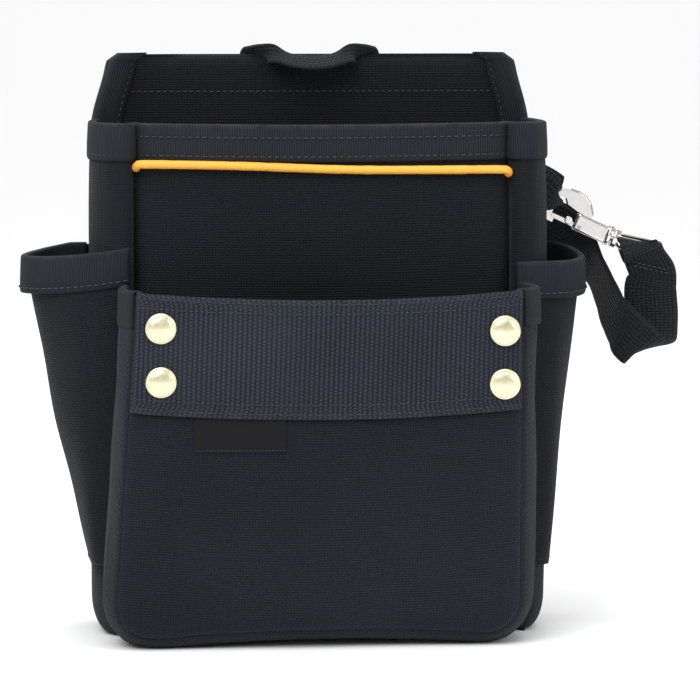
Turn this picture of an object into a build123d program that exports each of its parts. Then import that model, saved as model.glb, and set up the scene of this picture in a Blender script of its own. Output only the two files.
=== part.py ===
from build123d import *
from math import cos, radians, sin
import os

# Electrician's two-tier tool pouch, sewn from heavy fabric over a stiff board, with side pockets,
# a belt tunnel, a hanging loop and a tape strap that closes with a swivel snap hook.
# Millimetres, +Z up. The pouch stands on z = 0, its front faces -Y and its back lies against the body.

os.makedirs("parts", exist_ok=True)

# Driving dimensions: the overall size
MAIN_HALF_WIDTH = 101.0     # main pocket
BACK_HEIGHT = 259.0
MAIN_DEPTH = 58.0
FRONT_DEPTH = 43.0
BACK_FRONT_Y = 44.0         # the face that the pockets are sewn to

# Cloth, tape and webbing
FABRIC = 2.0                # one wall: outer fabric and lining sewn together
TAPE = 0.9                  # binding tape, one layer
TAPE_HEIGHT = 15.0          # how far a folded binding reaches down a wall
SEAM_GAP = 0.3              # between pieces that are near but not sewn
SEAM_WIDTH = 1.0            # how far a seam overlaps the piece behind it
STRAP_WIDTH = 25.0
STRAP_THICKNESS = 1.8
BAND_WIDTH = 50.0           # heavy webbing sewn across the front pocket
BAND_THICKNESS = 2.2
BAND_DIP = 3.5              # how far the band sags at its middle
BAND_SPREAD = 1.5           # how much wider the band's lower edge is, each side
BAND_RISE = 1.0             # how far the band stands above the panel's rim
HANDLE_WEBBING = 9.0
HANDLE_THICKNESS = 1.8

# Panels
BACK_HALF_WIDTH = MAIN_HALF_WIDTH - 1
BACK_TOP_HALF_WIDTH = BACK_HALF_WIDTH - 7
BACK_SHOULDER = BACK_HEIGHT - 35  # where the back panel starts to narrow
BACK_FOOT = 6.0             # its lower edge
EDGE_TAPE_WIDTH = 12.0      # binding on the back panel's side edges
EDGE_TAPE_FOOT = 22.0
BOARD_THICKNESS = 2.5
BOARD_MARGIN = 14.0         # from the board's edge to the panel's edge
MAIN_SEAM_HALF_WIDTH = MAIN_HALF_WIDTH - 17  # half the width of the main front panel
MAIN_HEIGHT = BACK_HEIGHT - 30
MAIN_PANEL_WRAP = 9.0       # how far the main front panel reaches back round the floor
FRONT_HALF_WIDTH = MAIN_HALF_WIDTH - 6
FRONT_SEAM_HALF_WIDTH = FRONT_HALF_WIDTH - 11
FRONT_HEIGHT = BACK_HEIGHT - 106
FRONT_PANEL_WRAP = 5.0
CORNER_RADIUS = 16.0        # lower corners of both front panels
PANEL_FOOT = 5.0            # where both front panels start above the floor
SIDE_HEIGHT = BACK_HEIGHT - 86  # rim of the side pockets
SIDE_FOOT = 30.0            # where the side pockets run out
SIDE_FOOT_BULGE = 1.6
LEFT_BULGE = 30.0           # how far the left side pocket stands out at its rim
RIGHT_BULGE = 19.0
TUNNEL_HALF_WIDTH = BACK_HALF_WIDTH - 18
TUNNEL_TOP = BACK_HEIGHT - 13
TUNNEL_BOTTOM = TUNNEL_TOP - 76
TUNNEL_GAP = 8.0            # room for a belt behind the back panel
TUNNEL_HEM = 8.0            # sewn strip at the tunnel's top and bottom
BELLY = [(0.0, 8.0), (1.6, 3.5), (6.4, 0.8), (16.0, 0.0)]  # height over the floor, how far a wall draws in

# Fittings on the front
BAND_HALF_WIDTH = FRONT_SEAM_HALF_WIDTH + 3
RIVET_X = BAND_HALF_WIDTH - 11.5
RIVET_SPACING = 23.5
RIVET_DROP = 2.0            # how far the rivets' middle is below the band's
RIVET_CAP_RADIUS = 7.0
RIVET_CAP_HEIGHT = 2.0
RIVET_SHANK_RADIUS = 2.5
RIVET_CLEARANCE = 0.1
BURR_RADIUS = 6.5
BURR_THICKNESS = 1.0
PIPING_RADIUS = 1.9
PIPING_DROP = 17.5          # piping centre below the main rim, at its left end
PIPING_SLOPE = 3.0          # how much lower its right end is
PIPING_MARGIN = 2.0         # from its ends to the panel's seams
LABEL_WIDTH = 40.0
LABEL_HEIGHT = 16.5
LABEL_INSET = 26.0          # from the band's left end to the label
LABEL_THICKNESS = 0.6

# Hanging loop
HANDLE_HALF_WIDTH = 32.0
HANDLE_REACH = 25.0
HANDLE_DROOP = 10.0         # degrees below level when it flops forward
HANDLE_TAB_DEPTH = 12.5     # how far its ends are sewn down behind the back panel
HANDLE_CLEARANCE = 0.4
HANDLE_SETBACK = 1.0        # of its hinge line from the back panel's rear face

# Snap hook, drawn about its swivel: local x runs along it to the nose, local z towards its spine
HOOK_OUT = 35.6             # swivel from the main pocket's side
HOOK_DROP = 83.4            # swivel below the top of the back panel
HOOK_FORWARD = 0.6 * STRAP_WIDTH  # swivel in front of the back panel, clear of the strap that passes behind
HOOK_TILT = 24.8            # degrees that the hook rises towards its nose
HOOK_ROUNDING = 1.2
BODY_START = 2.2
BODY_LENGTH = 18.5          # swivel face to jaw
BODY_HALF_THICKNESS = 3.5
BODY_LOW_Z = -4.4
BODY_HIGH_Z = 3.6
NOSE_HALF_THICKNESS = 2.8
STUD_RADIUS = 2.1
STUD_HEAD_RADIUS = STUD_RADIUS + 0.9
STUD_HEAD_LENGTH = 2.0
STUD_LENGTH = 8.0
COLLAR_RADIUS = 5.0
COLLAR_GAP = 0.8            # between the body's collar and the eye's
RUNNING_CLEARANCE = 0.06
PIN_RADIUS = 1.0
PIN_CLEARANCE = 0.02        # between the pin and the body that it is pressed into
PIN_X = 15.8
PIN_Z = -2.4
KNUCKLE_RADIUS = PIN_RADIUS + 0.9
GATE_HALF_WIDTH = 1.6
GATE_THICKNESS = 2.0
GATE_END_X = 29.4
GATE_SIDE_GAP = 1.1         # beside the gate, for the spring
KNOB_X = 21.3
KNOB_RADIUS = 1.9
SPRING_HALF_WIRE = 0.4
NECK_LENGTH = 3.4           # swivel face to the eye
EYE_TILT = 12.8             # degrees: the eye bends up from the swivel's axis to this
EYE_ROLL = 28.0             # degrees that its near bar hangs below its far bar
EYE_LENGTH = 20.0           # between the middles of its end bars
EYE_HALF_WIDTH = 5.5
EYE_BAR_RADIUS = 1.5
EYE_CORNER = 2.2

# Strap ends
FOLD_WIDTH = 12.8           # the strap is squeezed together in the eye
FOLD_SHIFT = 0.9            # towards the eye's outer end
FOLD_LENGTH = 8.0           # how far its folded end reaches below the near bar
FOLD_GAP = 0.15
ANCHOR_WIDTH = 24.0         # tape width where the anchor loop is sewn in
ANCHOR_RISE = 10.0          # how much higher its root is than the hook holds it
ANCHOR_GATHERED = 2.6       # tape width where the hook gathers it
ANCHOR_THICKNESS = 1.8
ANCHOR_HALF_GAP = 6.5
ANCHOR_HOLD = (27.6, 4.7)   # where the nose holds it, in the hook's x and z

# Places that follow from them
BACK_REAR_Y = BACK_FRONT_Y + 2 * FABRIC + BOARD_THICKNESS
MAIN_REAR_Y = BACK_FRONT_Y - TAPE
MAIN_FRONT_Y = BACK_FRONT_Y - MAIN_DEPTH
FRONT_Y = MAIN_FRONT_Y - FRONT_DEPTH
TUNNEL_REAR_Y = BACK_REAR_Y + TUNNEL_GAP + FABRIC
SWIVEL = Vector(MAIN_HALF_WIDTH + HOOK_OUT, BACK_FRONT_Y - HOOK_FORWARD, BACK_HEIGHT - HOOK_DROP)

# Larger than the pouch, for blocks that only cut
FAR = 500.0
PAST = 5.0                  # how far a cutting piece runs past what it cuts


def outline(points):
    """A face in the XZ plane from (x, z) points."""
    return make_face(Polyline(*[(x, 0, z) for x, z in points], close=True))


def slab(face, front_y, rear_y):
    """A face in the XZ plane, as a layer between two depths."""
    return extrude(face, amount=rear_y - front_y, dir=(0, 1, 0)).moved(Location((0, front_y, 0)))


def block(low, high):
    """A box between two corners."""
    size = [b - a for a, b in zip(low, high)]
    centre = [(a + b) / 2 for a, b in zip(low, high)]
    return Box(*size).moved(Location(centre))


def grown(points, amount):
    """A plan outline of (x, y) points, anticlockwise, moved outwards by an amount."""
    result = []
    count = len(points)
    for index, (x, y) in enumerate(points):
        before = Vector(x - points[index - 1][0], y - points[index - 1][1]).normalized()
        following = points[(index + 1) % count]
        after = Vector(following[0] - x, following[1] - y).normalized()
        normal_before = Vector(before.Y, -before.X)
        normal_after = Vector(after.Y, -after.X)
        mitre = (normal_before + normal_after) / (1 + normal_before.dot(normal_after))
        result.append((x + mitre.X * amount, y + mitre.Y * amount))
    return result


def stacked(sections):
    """A straight-sided solid through plan outlines of (x, y) points at rising heights."""
    faces = [make_face(Polyline(*[(x, y, z) for x, y in points], close=True)) for z, points in sections]
    return loft(faces, ruled=True)


def mirrored_plan(right_half):
    """A full plan outline from its right half, listed from the front to the rear."""
    left_half = [(-x, y) for x, y in reversed(right_half)]
    return right_half + left_half


def rounded_front(half_width, bottom, top, radius):
    """A panel outline with round lower corners."""
    panel = Rectangle(2 * half_width, top - bottom)
    panel = fillet(panel.vertices().sort_by(Axis.Y)[:2], radius)
    return (Plane.XZ * Pos(0, (bottom + top) / 2) * panel).face()


def tub(plan, top, wall):
    """The outside of a sewn pocket, or its inside where a wall is given, drawn in towards its floor."""
    sections = [(height + wall, grown(plan, -inset - wall)) for height, inset in BELLY]
    return stacked(sections + [(top, grown(plan, -wall))])


def hollow(plan, top):
    """An open-topped pocket with walls and a floor of one thickness."""
    return tub(plan, top, 0) - tub(plan, top + PAST, FABRIC)


def rim_tape(plan, top):
    """Binding folded over a vertical rim: tape outside, inside and over the top."""
    low = top - TAPE_HEIGHT
    outside = stacked([(low, grown(plan, TAPE)), (top + TAPE, grown(plan, TAPE))])
    inside = stacked([(low - PAST, grown(plan, -FABRIC - TAPE)), (top + PAST, grown(plan, -FABRIC - TAPE))])
    wall_outer = stacked([(low - PAST, plan), (top, plan)])
    wall_inner = stacked([(low - 2 * PAST, grown(plan, -FABRIC)), (top + PAST, grown(plan, -FABRIC))])
    return outside - inside - (wall_outer - wall_inner)


def beyond(**limits):
    """A cutting block, unlimited except where a side is given, such as x_min or y_max."""
    low = [limits.get(f"{axis}_min", -FAR) for axis in "xyz"]
    high = [limits.get(f"{axis}_max", FAR) for axis in "xyz"]
    return block(low, high)


def save(shape, name):
    """Writes one named piece."""
    export_step(shape, f"parts/{name}.step")


# Back panel: rear fabric with a recess for the board, front lining, bound side edges
back_half = [
    (BACK_HALF_WIDTH - 8, BACK_FOOT),
    (BACK_HALF_WIDTH, BACK_FOOT + CORNER_RADIUS),
    (BACK_HALF_WIDTH, BACK_SHOULDER),
    (BACK_HALF_WIDTH - 2, BACK_SHOULDER + 18),
    (BACK_TOP_HALF_WIDTH, BACK_HEIGHT - 3),
    (BACK_TOP_HALF_WIDTH - 4, BACK_HEIGHT),
]
back_points = mirrored_plan(back_half)
back_face = outline(back_points)


def board_outline(margin):
    """The board's outline, at a distance from the panel's edges."""
    return outline(mirrored_plan([
        (BACK_HALF_WIDTH - margin, BACK_FOOT + margin),
        (BACK_HALF_WIDTH - margin, BACK_SHOULDER),
        (BACK_TOP_HALF_WIDTH - margin, BACK_HEIGHT - margin),
    ]))


lining_rear_y = BACK_FRONT_Y + FABRIC
board_rear_y = lining_rear_y + BOARD_THICKNESS
back_lining = slab(back_face, BACK_FRONT_Y, lining_rear_y)
recess = slab(board_outline(BOARD_MARGIN - SEAM_GAP), lining_rear_y, board_rear_y)
back_panel = slab(back_face, lining_rear_y, BACK_REAR_Y) - recess
back_board = slab(board_outline(BOARD_MARGIN), lining_rear_y, board_rear_y)
bound_outer = slab(outline(grown(back_points, TAPE)), BACK_FRONT_Y - TAPE, BACK_REAR_Y + TAPE)
unbound = slab(outline(mirrored_plan([
    (BACK_HALF_WIDTH - EDGE_TAPE_WIDTH, 0),
    (BACK_HALF_WIDTH - EDGE_TAPE_WIDTH, BACK_SHOULDER),
    (BACK_TOP_HALF_WIDTH - EDGE_TAPE_WIDTH, BACK_HEIGHT),
    (BACK_TOP_HALF_WIDTH - EDGE_TAPE_WIDTH, BACK_HEIGHT + PAST),
])), BACK_FRONT_Y - PAST, BACK_REAR_Y + PAST)
edge_ring = bound_outer - unbound - slab(back_face, BACK_FRONT_Y, BACK_REAR_Y)
edge_binding_right = edge_ring & beyond(x_min=0, z_min=EDGE_TAPE_FOOT)
edge_binding_left = edge_binding_right.mirror(Plane.YZ)
save(back_lining, "back_lining")
save(back_panel, "back_panel")
save(back_board, "back_board")
save(edge_binding_left, "edge_binding_left")
save(edge_binding_right, "edge_binding_right")

# Belt tunnel: a strip sewn to the back panel along its top and its bottom, open at both ends
tunnel_inner_y = TUNNEL_REAR_Y - FABRIC
tunnel_profile = [
    (BACK_REAR_Y, TUNNEL_TOP),
    (BACK_REAR_Y + FABRIC, TUNNEL_TOP),
    (TUNNEL_REAR_Y, TUNNEL_TOP - 2 * TUNNEL_HEM),
    (TUNNEL_REAR_Y, TUNNEL_BOTTOM + 2 * TUNNEL_HEM),
    (BACK_REAR_Y + FABRIC, TUNNEL_BOTTOM),
    (BACK_REAR_Y, TUNNEL_BOTTOM),
    (BACK_REAR_Y, TUNNEL_BOTTOM + TUNNEL_HEM),
    (tunnel_inner_y, TUNNEL_BOTTOM + 2 * TUNNEL_HEM),
    (tunnel_inner_y, TUNNEL_TOP - 2 * TUNNEL_HEM),
    (BACK_REAR_Y, TUNNEL_TOP - TUNNEL_HEM),
]
tunnel_face = make_face(Polyline(*[(-TUNNEL_HALF_WIDTH, y, z) for y, z in tunnel_profile], close=True))
save(extrude(tunnel_face, amount=2 * TUNNEL_HALF_WIDTH, dir=(1, 0, 0)), "belt_tunnel")

# Main pocket: front panel, two gussets and a floor, cut from one sewn shell
main_half = [
    (MAIN_SEAM_HALF_WIDTH, MAIN_FRONT_Y),
    (MAIN_SEAM_HALF_WIDTH + 10, MAIN_FRONT_Y + 2),
    (MAIN_HALF_WIDTH, MAIN_FRONT_Y + 11),
    (MAIN_HALF_WIDTH, MAIN_REAR_Y - 7),
    (MAIN_HALF_WIDTH - 3, MAIN_REAR_Y + 20),
]
main_plan = mirrored_plan(main_half)
before_back = beyond(y_max=MAIN_REAR_Y)
main_outside = tub(main_plan, MAIN_HEIGHT, 0)
main_shell = hollow(main_plan, MAIN_HEIGHT) & before_back
main_panel_outline = rounded_front(MAIN_SEAM_HALF_WIDTH, PANEL_FOOT, MAIN_HEIGHT + PAST, CORNER_RADIUS)
main_front_zone = slab(main_panel_outline, MAIN_FRONT_Y - PAST, MAIN_FRONT_Y + MAIN_PANEL_WRAP)
main_front_panel = main_shell & main_front_zone
main_rest = main_shell - main_front_zone
floor_half_width = MAIN_SEAM_HALF_WIDTH - CORNER_RADIUS
floor_zone = beyond(x_min=-floor_half_width, x_max=floor_half_width, z_max=SIDE_FOOT)
main_bottom = main_rest & floor_zone
main_sides = main_rest - floor_zone
right_of_middle = beyond(x_min=0)
left_of_middle = beyond(x_max=0)
save(main_front_panel, "main_front_panel")
save(main_bottom, "main_bottom")
save(main_sides & left_of_middle, "main_gusset_left")
save(main_sides & right_of_middle, "main_gusset_right")

# Stiff board on the main pocket's floor, clear of the walls where they draw in
board_clearance = 4.0
board_front_y = MAIN_FRONT_Y + BELLY[0][1] + FABRIC + board_clearance
bottom_board = block(
    (board_clearance - floor_half_width, board_front_y, FABRIC),
    (floor_half_width - board_clearance, BACK_FRONT_Y - board_clearance, FABRIC + BOARD_THICKNESS),
)
save(bottom_board, "bottom_board")

# Binding on the main rim: one length on the front panel, one on each gusset
main_tape = rim_tape(main_plan, MAIN_HEIGHT) & before_back
main_tape_zone = beyond(
    x_min=-MAIN_SEAM_HALF_WIDTH, x_max=MAIN_SEAM_HALF_WIDTH, y_max=MAIN_FRONT_Y + MAIN_PANEL_WRAP
)
main_side_tape = main_tape - main_tape_zone
save(main_tape & main_tape_zone, "main_front_binding")
save(main_side_tape & left_of_middle, "main_gusset_binding_left")
save(main_side_tape & right_of_middle, "main_gusset_binding_right")

# Piping: a round cord sewn under the main binding
piping_y = MAIN_FRONT_Y - PIPING_RADIUS
piping_end = MAIN_SEAM_HALF_WIDTH - PIPING_MARGIN
piping_left = Vector(-piping_end, piping_y, MAIN_HEIGHT - PIPING_DROP)
piping_right = Vector(piping_end, piping_y, MAIN_HEIGHT - PIPING_DROP - PIPING_SLOPE)
piping_run = piping_right - piping_left
piping = Cylinder(PIPING_RADIUS, piping_run.length, align=(Align.CENTER, Align.CENTER, Align.MIN))
save(piping.moved(Plane(origin=piping_left, z_dir=piping_run).location), "piping")

# Side pockets: flared panels that start at the main front seams and run out near the floor


def side_plan(bulge, share):
    """The right side pocket's plan, from 0 at its foot to 1 at its rim, with a bulge at the rim."""
    out = SIDE_FOOT_BULGE + (bulge - SIDE_FOOT_BULGE) * share
    return [
        (MAIN_SEAM_HALF_WIDTH + SEAM_WIDTH, MAIN_FRONT_Y - FABRIC),
        (MAIN_HALF_WIDTH - 3 + out / 4, MAIN_FRONT_Y),
        (MAIN_HALF_WIDTH + out, MAIN_FRONT_Y + 14 + 6 * share),
        (MAIN_HALF_WIDTH + out, MAIN_REAR_Y - 20),
        (MAIN_HALF_WIDTH + SEAM_WIDTH + 0.7 * out, MAIN_REAR_Y - 6),
        (MAIN_HALF_WIDTH + SEAM_WIDTH, MAIN_REAR_Y - SEAM_WIDTH),
        (MAIN_HALF_WIDTH - 12, MAIN_REAR_Y - SEAM_WIDTH),
    ]


def side_solid(bulge, grow, low, high):
    """A side pocket's outside, grown by an amount, between two heights."""
    span = SIDE_HEIGHT - SIDE_FOOT
    return stacked([
        (low, grown(side_plan(bulge, (low - SIDE_FOOT) / span), grow)),
        (high, grown(side_plan(bulge, (high - SIDE_FOOT) / span), grow)),
    ])


def side_pocket(bulge):
    """The right side pocket and its binding, with the rim at SIDE_HEIGHT."""
    outside = side_solid(bulge, 0, SIDE_FOOT, SIDE_HEIGHT)
    inside = side_solid(bulge, -FABRIC, SIDE_FOOT + FABRIC, SIDE_HEIGHT + PAST)
    beside = beyond(x_min=MAIN_SEAM_HALF_WIDTH + SEAM_WIDTH) - main_outside
    low = SIDE_HEIGHT - TAPE_HEIGHT
    high = SIDE_HEIGHT + TAPE
    tape = side_solid(bulge, TAPE, low, high) - side_solid(bulge, -FABRIC - TAPE, low - PAST, high + PAST)
    tape_side = beyond(x_min=MAIN_SEAM_HALF_WIDTH + 2 * SEAM_WIDTH, y_max=MAIN_REAR_Y - 2 * SEAM_WIDTH)
    pocket = (outside - inside) & beside
    return pocket, (tape & beside & tape_side) - pocket


side_right, side_tape_right = side_pocket(RIGHT_BULGE)
side_left, side_tape_left = [piece.mirror(Plane.YZ) for piece in side_pocket(LEFT_BULGE)]
save(side_left, "side_pocket_left")
save(side_right, "side_pocket_right")
save(side_tape_left, "side_binding_left")
save(side_tape_right, "side_binding_right")

# Front pocket: a front panel and one gusset strip that runs down, under and up again
front_half = [
    (FRONT_SEAM_HALF_WIDTH, FRONT_Y),
    (FRONT_HALF_WIDTH - 2, FRONT_Y + 6),
    (FRONT_HALF_WIDTH, FRONT_Y + 15),
    (FRONT_HALF_WIDTH - 2, MAIN_FRONT_Y - FABRIC),
    (FRONT_HALF_WIDTH - 6, MAIN_FRONT_Y + 12),
]
front_plan = mirrored_plan(front_half)
before_main = beyond(y_max=MAIN_FRONT_Y)
behind_front = [main_outside, side_right, side_left]
front_shell = (hollow(front_plan, FRONT_HEIGHT) & before_main) - behind_front
front_panel_outline = rounded_front(FRONT_SEAM_HALF_WIDTH, PANEL_FOOT, FRONT_HEIGHT + PAST, CORNER_RADIUS)
front_zone = slab(front_panel_outline, FRONT_Y - PAST, FRONT_Y + FRONT_PANEL_WRAP)
front_panel = front_shell & front_zone
front_gusset = front_shell - front_zone

# Band of heavy webbing, sagging a little, with the four rivets that hold it
band_middle_top = FRONT_HEIGHT + BAND_RISE
band_middle_low = band_middle_top - BAND_WIDTH
band_end_top = band_middle_top + BAND_DIP
band_end_low = band_middle_low + BAND_DIP
top_left = (-BAND_HALF_WIDTH, 0, band_end_top)
top_right = (BAND_HALF_WIDTH, 0, band_end_top)
low_left = (-BAND_HALF_WIDTH - BAND_SPREAD, 0, band_end_low)
low_right = (BAND_HALF_WIDTH + BAND_SPREAD, 0, band_end_low)
band_edges = [
    ThreePointArc(top_left, (0, 0, band_middle_top), top_right),
    Line(top_right, low_right),
    ThreePointArc(low_right, (0, 0, band_middle_low), low_left),
    Line(low_left, top_left),
]
band_front_y = FRONT_Y - BAND_THICKNESS
front_band = slab(make_face(band_edges), band_front_y, FRONT_Y)
rivet_z = (band_end_top + band_end_low) / 2 - RIVET_DROP
rivet_heights = (rivet_z - RIVET_SPACING / 2, rivet_z + RIVET_SPACING / 2)
cloth_under_rivet = BAND_THICKNESS + FABRIC
shank_length = cloth_under_rivet + BURR_THICKNESS
dome_radius = (RIVET_CAP_RADIUS ** 2 + RIVET_CAP_HEIGHT ** 2) / (2 * RIVET_CAP_HEIGHT)
upright = (Align.CENTER, Align.CENTER, Align.MIN)
ball = Sphere(dome_radius).moved(Location((0, 0, dome_radius - RIVET_CAP_HEIGHT)))
cap = ball & beyond(z_max=0)
cap += Cylinder(RIVET_SHANK_RADIUS, shank_length, align=upright)
hole = Cylinder(RIVET_SHANK_RADIUS + RIVET_CLEARANCE, shank_length + PAST, align=upright)
burr = Cylinder(BURR_RADIUS, BURR_THICKNESS, align=upright).moved(Location((0, 0, cloth_under_rivet))) - hole
rivet_places = [
    Location((x, band_front_y, z)) * Location((0, 0, 0), (-90, 0, 0))
    for x in (-RIVET_X, RIVET_X)
    for z in rivet_heights
]
holes = [hole.moved(place) for place in rivet_places]
caps = [cap.moved(place) for place in rivet_places]
burrs = [burr.moved(place) for place in rivet_places]
front_panel -= holes
front_band -= holes
save(front_panel, "front_panel")
save(front_gusset, "front_gusset")
save(front_band, "front_band")
save(Compound(children=caps), "rivet_caps")
save(Compound(children=burrs), "rivet_burrs")

# Binding on the front gusset's two rims
front_tape = (rim_tape(front_plan, FRONT_HEIGHT) & before_main) - behind_front
front_tape_start = BAND_HALF_WIDTH + SEAM_WIDTH
front_tape_sides = front_tape - beyond(x_min=-front_tape_start, x_max=front_tape_start)
save(front_tape_sides & left_of_middle, "front_gusset_binding_left")
save(front_tape_sides & right_of_middle, "front_gusset_binding_right")

# Woven label, its top edge under the band
label_left = LABEL_INSET - BAND_HALF_WIDTH
label = block(
    (label_left, FRONT_Y - LABEL_THICKNESS, band_middle_low - LABEL_HEIGHT),
    (label_left + LABEL_WIDTH, FRONT_Y, band_end_low),
)
save(label - front_band, "label")

# Hanging loop: two sewn ends behind the back panel, and a flat loop that flops forward over its top
tab_x = HANDLE_HALF_WIDTH - HANDLE_WEBBING / 2
tabs = [
    block(
        (x - HANDLE_WEBBING / 2, BACK_REAR_Y, BACK_HEIGHT - HANDLE_TAB_DEPTH),
        (x + HANDLE_WEBBING / 2, BACK_REAR_Y + HANDLE_THICKNESS, BACK_HEIGHT),
    )
    for x in (-tab_x, tab_x)
]
save(Compound(children=tabs), "handle_tabs")
handle_axis_z = BACK_HEIGHT + HANDLE_CLEARANCE + TAPE + HANDLE_THICKNESS / 2
handle_plane = Plane(
    origin=(0, BACK_REAR_Y - HANDLE_SETBACK, handle_axis_z),
    x_dir=(1, 0, 0),
    z_dir=(0, sin(radians(HANDLE_DROOP)), cos(radians(HANDLE_DROOP))),
)
loop_outer = Rectangle(2 * HANDLE_HALF_WIDTH, HANDLE_REACH, align=(Align.CENTER, Align.MAX))
loop_outer = fillet(loop_outer.vertices().sort_by(Axis.Y)[:2], HANDLE_WEBBING)
gap_half_width = HANDLE_HALF_WIDTH - HANDLE_WEBBING
loop_gap = Rectangle(2 * gap_half_width, HANDLE_REACH - HANDLE_WEBBING, align=(Align.CENTER, Align.MAX))
handle_loop = extrude(loop_outer - loop_gap, amount=HANDLE_THICKNESS / 2, both=True)
save(handle_loop.moved(handle_plane.location), "handle_loop")

# Snap hook body and nose
tilt = radians(HOOK_TILT)
hook_plane = Plane(origin=SWIVEL, x_dir=(-cos(tilt), 0, sin(tilt)), z_dir=(sin(tilt), 0, cos(tilt)))


def rod_along(radius, start_x, end_x):
    """A round rod on the swivel's axis."""
    rod = Cylinder(radius, end_x - start_x, align=upright)
    return rod.moved(Plane(origin=(start_x, 0, 0), z_dir=(1, 0, 0)).location)


def rod_across(radius, half_length, x=PIN_X, z=PIN_Z):
    """A round rod across the hook, on the gate's hinge line unless placed elsewhere."""
    return Cylinder(radius, 2 * half_length).moved(Location((x, 0, z)) * Location((0, 0, 0), (90, 0, 0)))


gate_low_z = PIN_Z - GATE_THICKNESS / 2
toe_top_z = gate_low_z - 0.1
nose = make_face(Polyline(*[(x, 0, z) for x, z in [
    (12.0, 1.5),
    (12.0, 6.2),
    (14.6, 9.7),
    (18.0, 11.8),
    (22.0, 12.8),
    (26.5, 12.6),
    (30.2, 11.2),
    (32.4, 8.2),
    (33.0, 3.0),
    (32.6, gate_low_z - 1.0),
    (31.4, gate_low_z - 1.9),
    (GATE_END_X - 1.3, gate_low_z - 1.9),
    (GATE_END_X - 1.3, toe_top_z),
    (GATE_END_X + 0.2, toe_top_z),
    (30.2, 1.0),
    (30.4, 5.2),
    (29.0, 7.2),
    (26.3, 7.2),
    (24.6, 5.0),
    (20.0, 4.0),
    (16.0, 3.6),
    (16.0, 1.5),
]], close=True))
nose = extrude(nose, amount=2 * NOSE_HALF_THICKNESS, dir=(0, 1, 0))
nose = nose.moved(Location((0, -NOSE_HALF_THICKNESS, 0)))
crown_start_z = 7.6
nose_sides = [edge for edge in nose.edges() if abs(edge.center().Y) > HOOK_ROUNDING]
crown = [edge for edge in nose_sides if edge.center().Z > crown_start_z]
nose = fillet(crown, HOOK_ROUNDING)
body_block = block(
    (BODY_START, -BODY_HALF_THICKNESS, BODY_LOW_Z), (BODY_LENGTH, BODY_HALF_THICKNESS, BODY_HIGH_Z)
)
body_block = fillet(body_block.edges(), HOOK_ROUNDING)
stud_bore = rod_along(STUD_RADIUS + RUNNING_CLEARANCE, 0, STUD_LENGTH)
head_start = STUD_LENGTH - STUD_HEAD_LENGTH
head_room = rod_along(
    STUD_HEAD_RADIUS + RUNNING_CLEARANCE, head_start - RUNNING_CLEARANCE, STUD_LENGTH + RUNNING_CLEARANCE
)
gate_slot_half = GATE_HALF_WIDTH + GATE_SIDE_GAP
gate_slot_top = 0.9
gate_slot = block(
    (PIN_X - KNUCKLE_RADIUS - HOOK_ROUNDING / 2, -gate_slot_half, BODY_LOW_Z - PAST),
    (BODY_LENGTH + HOOK_ROUNDING, gate_slot_half, gate_slot_top),
)
collar = fillet(rod_along(COLLAR_RADIUS, COLLAR_GAP / 2, BODY_START + 0.4).edges(), 0.7)
hook_body = body_block + nose + collar
hook_body -= [stud_bore, head_room, gate_slot, rod_across(PIN_RADIUS + PIN_CLEARANCE, 2 * PAST)]
save(hook_body.moved(hook_plane.location), "hook_body")

# Spring gate: a bar with a thumb knob, hinged in the body, closing against the nose from inside
gate_bar = block(
    (PIN_X, -GATE_HALF_WIDTH, gate_low_z),
    (GATE_END_X, GATE_HALF_WIDTH, gate_low_z + GATE_THICKNESS),
)
knob_z = gate_low_z + GATE_THICKNESS - 0.2
knob = fillet(rod_across(KNOB_RADIUS, gate_slot_half, KNOB_X, knob_z).edges(), 0.6)
hook_gate = gate_bar + rod_across(KNUCKLE_RADIUS, GATE_HALF_WIDTH) + knob
hook_gate -= rod_across(PIN_RADIUS + RUNNING_CLEARANCE, 2 * PAST)
save(hook_gate.moved(hook_plane.location), "hook_gate")
save(rod_across(PIN_RADIUS, BODY_HALF_THICKNESS).moved(hook_plane.location), "gate_pin")
spring_ring = rod_across(KNUCKLE_RADIUS - 0.2, SPRING_HALF_WIRE) - rod_across(PIN_RADIUS + 0.1, PAST)
spring_y = GATE_HALF_WIDTH + GATE_SIDE_GAP / 2
springs = [spring_ring.moved(Location((0, y, 0))) for y in (-spring_y, spring_y)]
save(Compound(children=springs).moved(hook_plane.location), "gate_spring")

# Swivel eye: a ring of round bar for the strap, on a headed stud that turns in the body
neck = hook_plane.from_local_coords(Vector(-NECK_LENGTH, 0, 0))
eye_tilt = radians(EYE_TILT)
eye_roll = radians(EYE_ROLL)
bar_direction = Vector(cos(eye_tilt), 0, -sin(eye_tilt))
ring_up = Vector(sin(eye_tilt) * cos(eye_roll), -sin(eye_roll), cos(eye_tilt) * cos(eye_roll))
eye_plane = Plane(origin=neck, x_dir=bar_direction, z_dir=ring_up)
ring_path = Rectangle(EYE_LENGTH, 2 * EYE_HALF_WIDTH)
ring_path = fillet(ring_path.vertices(), EYE_CORNER).wire().moved(Location((EYE_LENGTH / 2, 0, 0)))
ring_section = Plane(origin=(EYE_LENGTH / 2, -EYE_HALF_WIDTH, 0), z_dir=(1, 0, 0)) * Circle(EYE_BAR_RADIUS)
eye_ring = sweep(ring_section, path=ring_path)
eye_collar = fillet(rod_along(COLLAR_RADIUS - 0.4, -NECK_LENGTH, -COLLAR_GAP / 2).edges(), 0.7)
stud = rod_along(STUD_RADIUS, -NECK_LENGTH / 2, STUD_LENGTH)
stud_head = rod_along(STUD_HEAD_RADIUS, head_start, STUD_LENGTH)
hook_eye = (eye_collar + stud + stud_head).moved(hook_plane.location) + eye_ring.moved(eye_plane.location)
save(hook_eye, "hook_eye")

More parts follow.
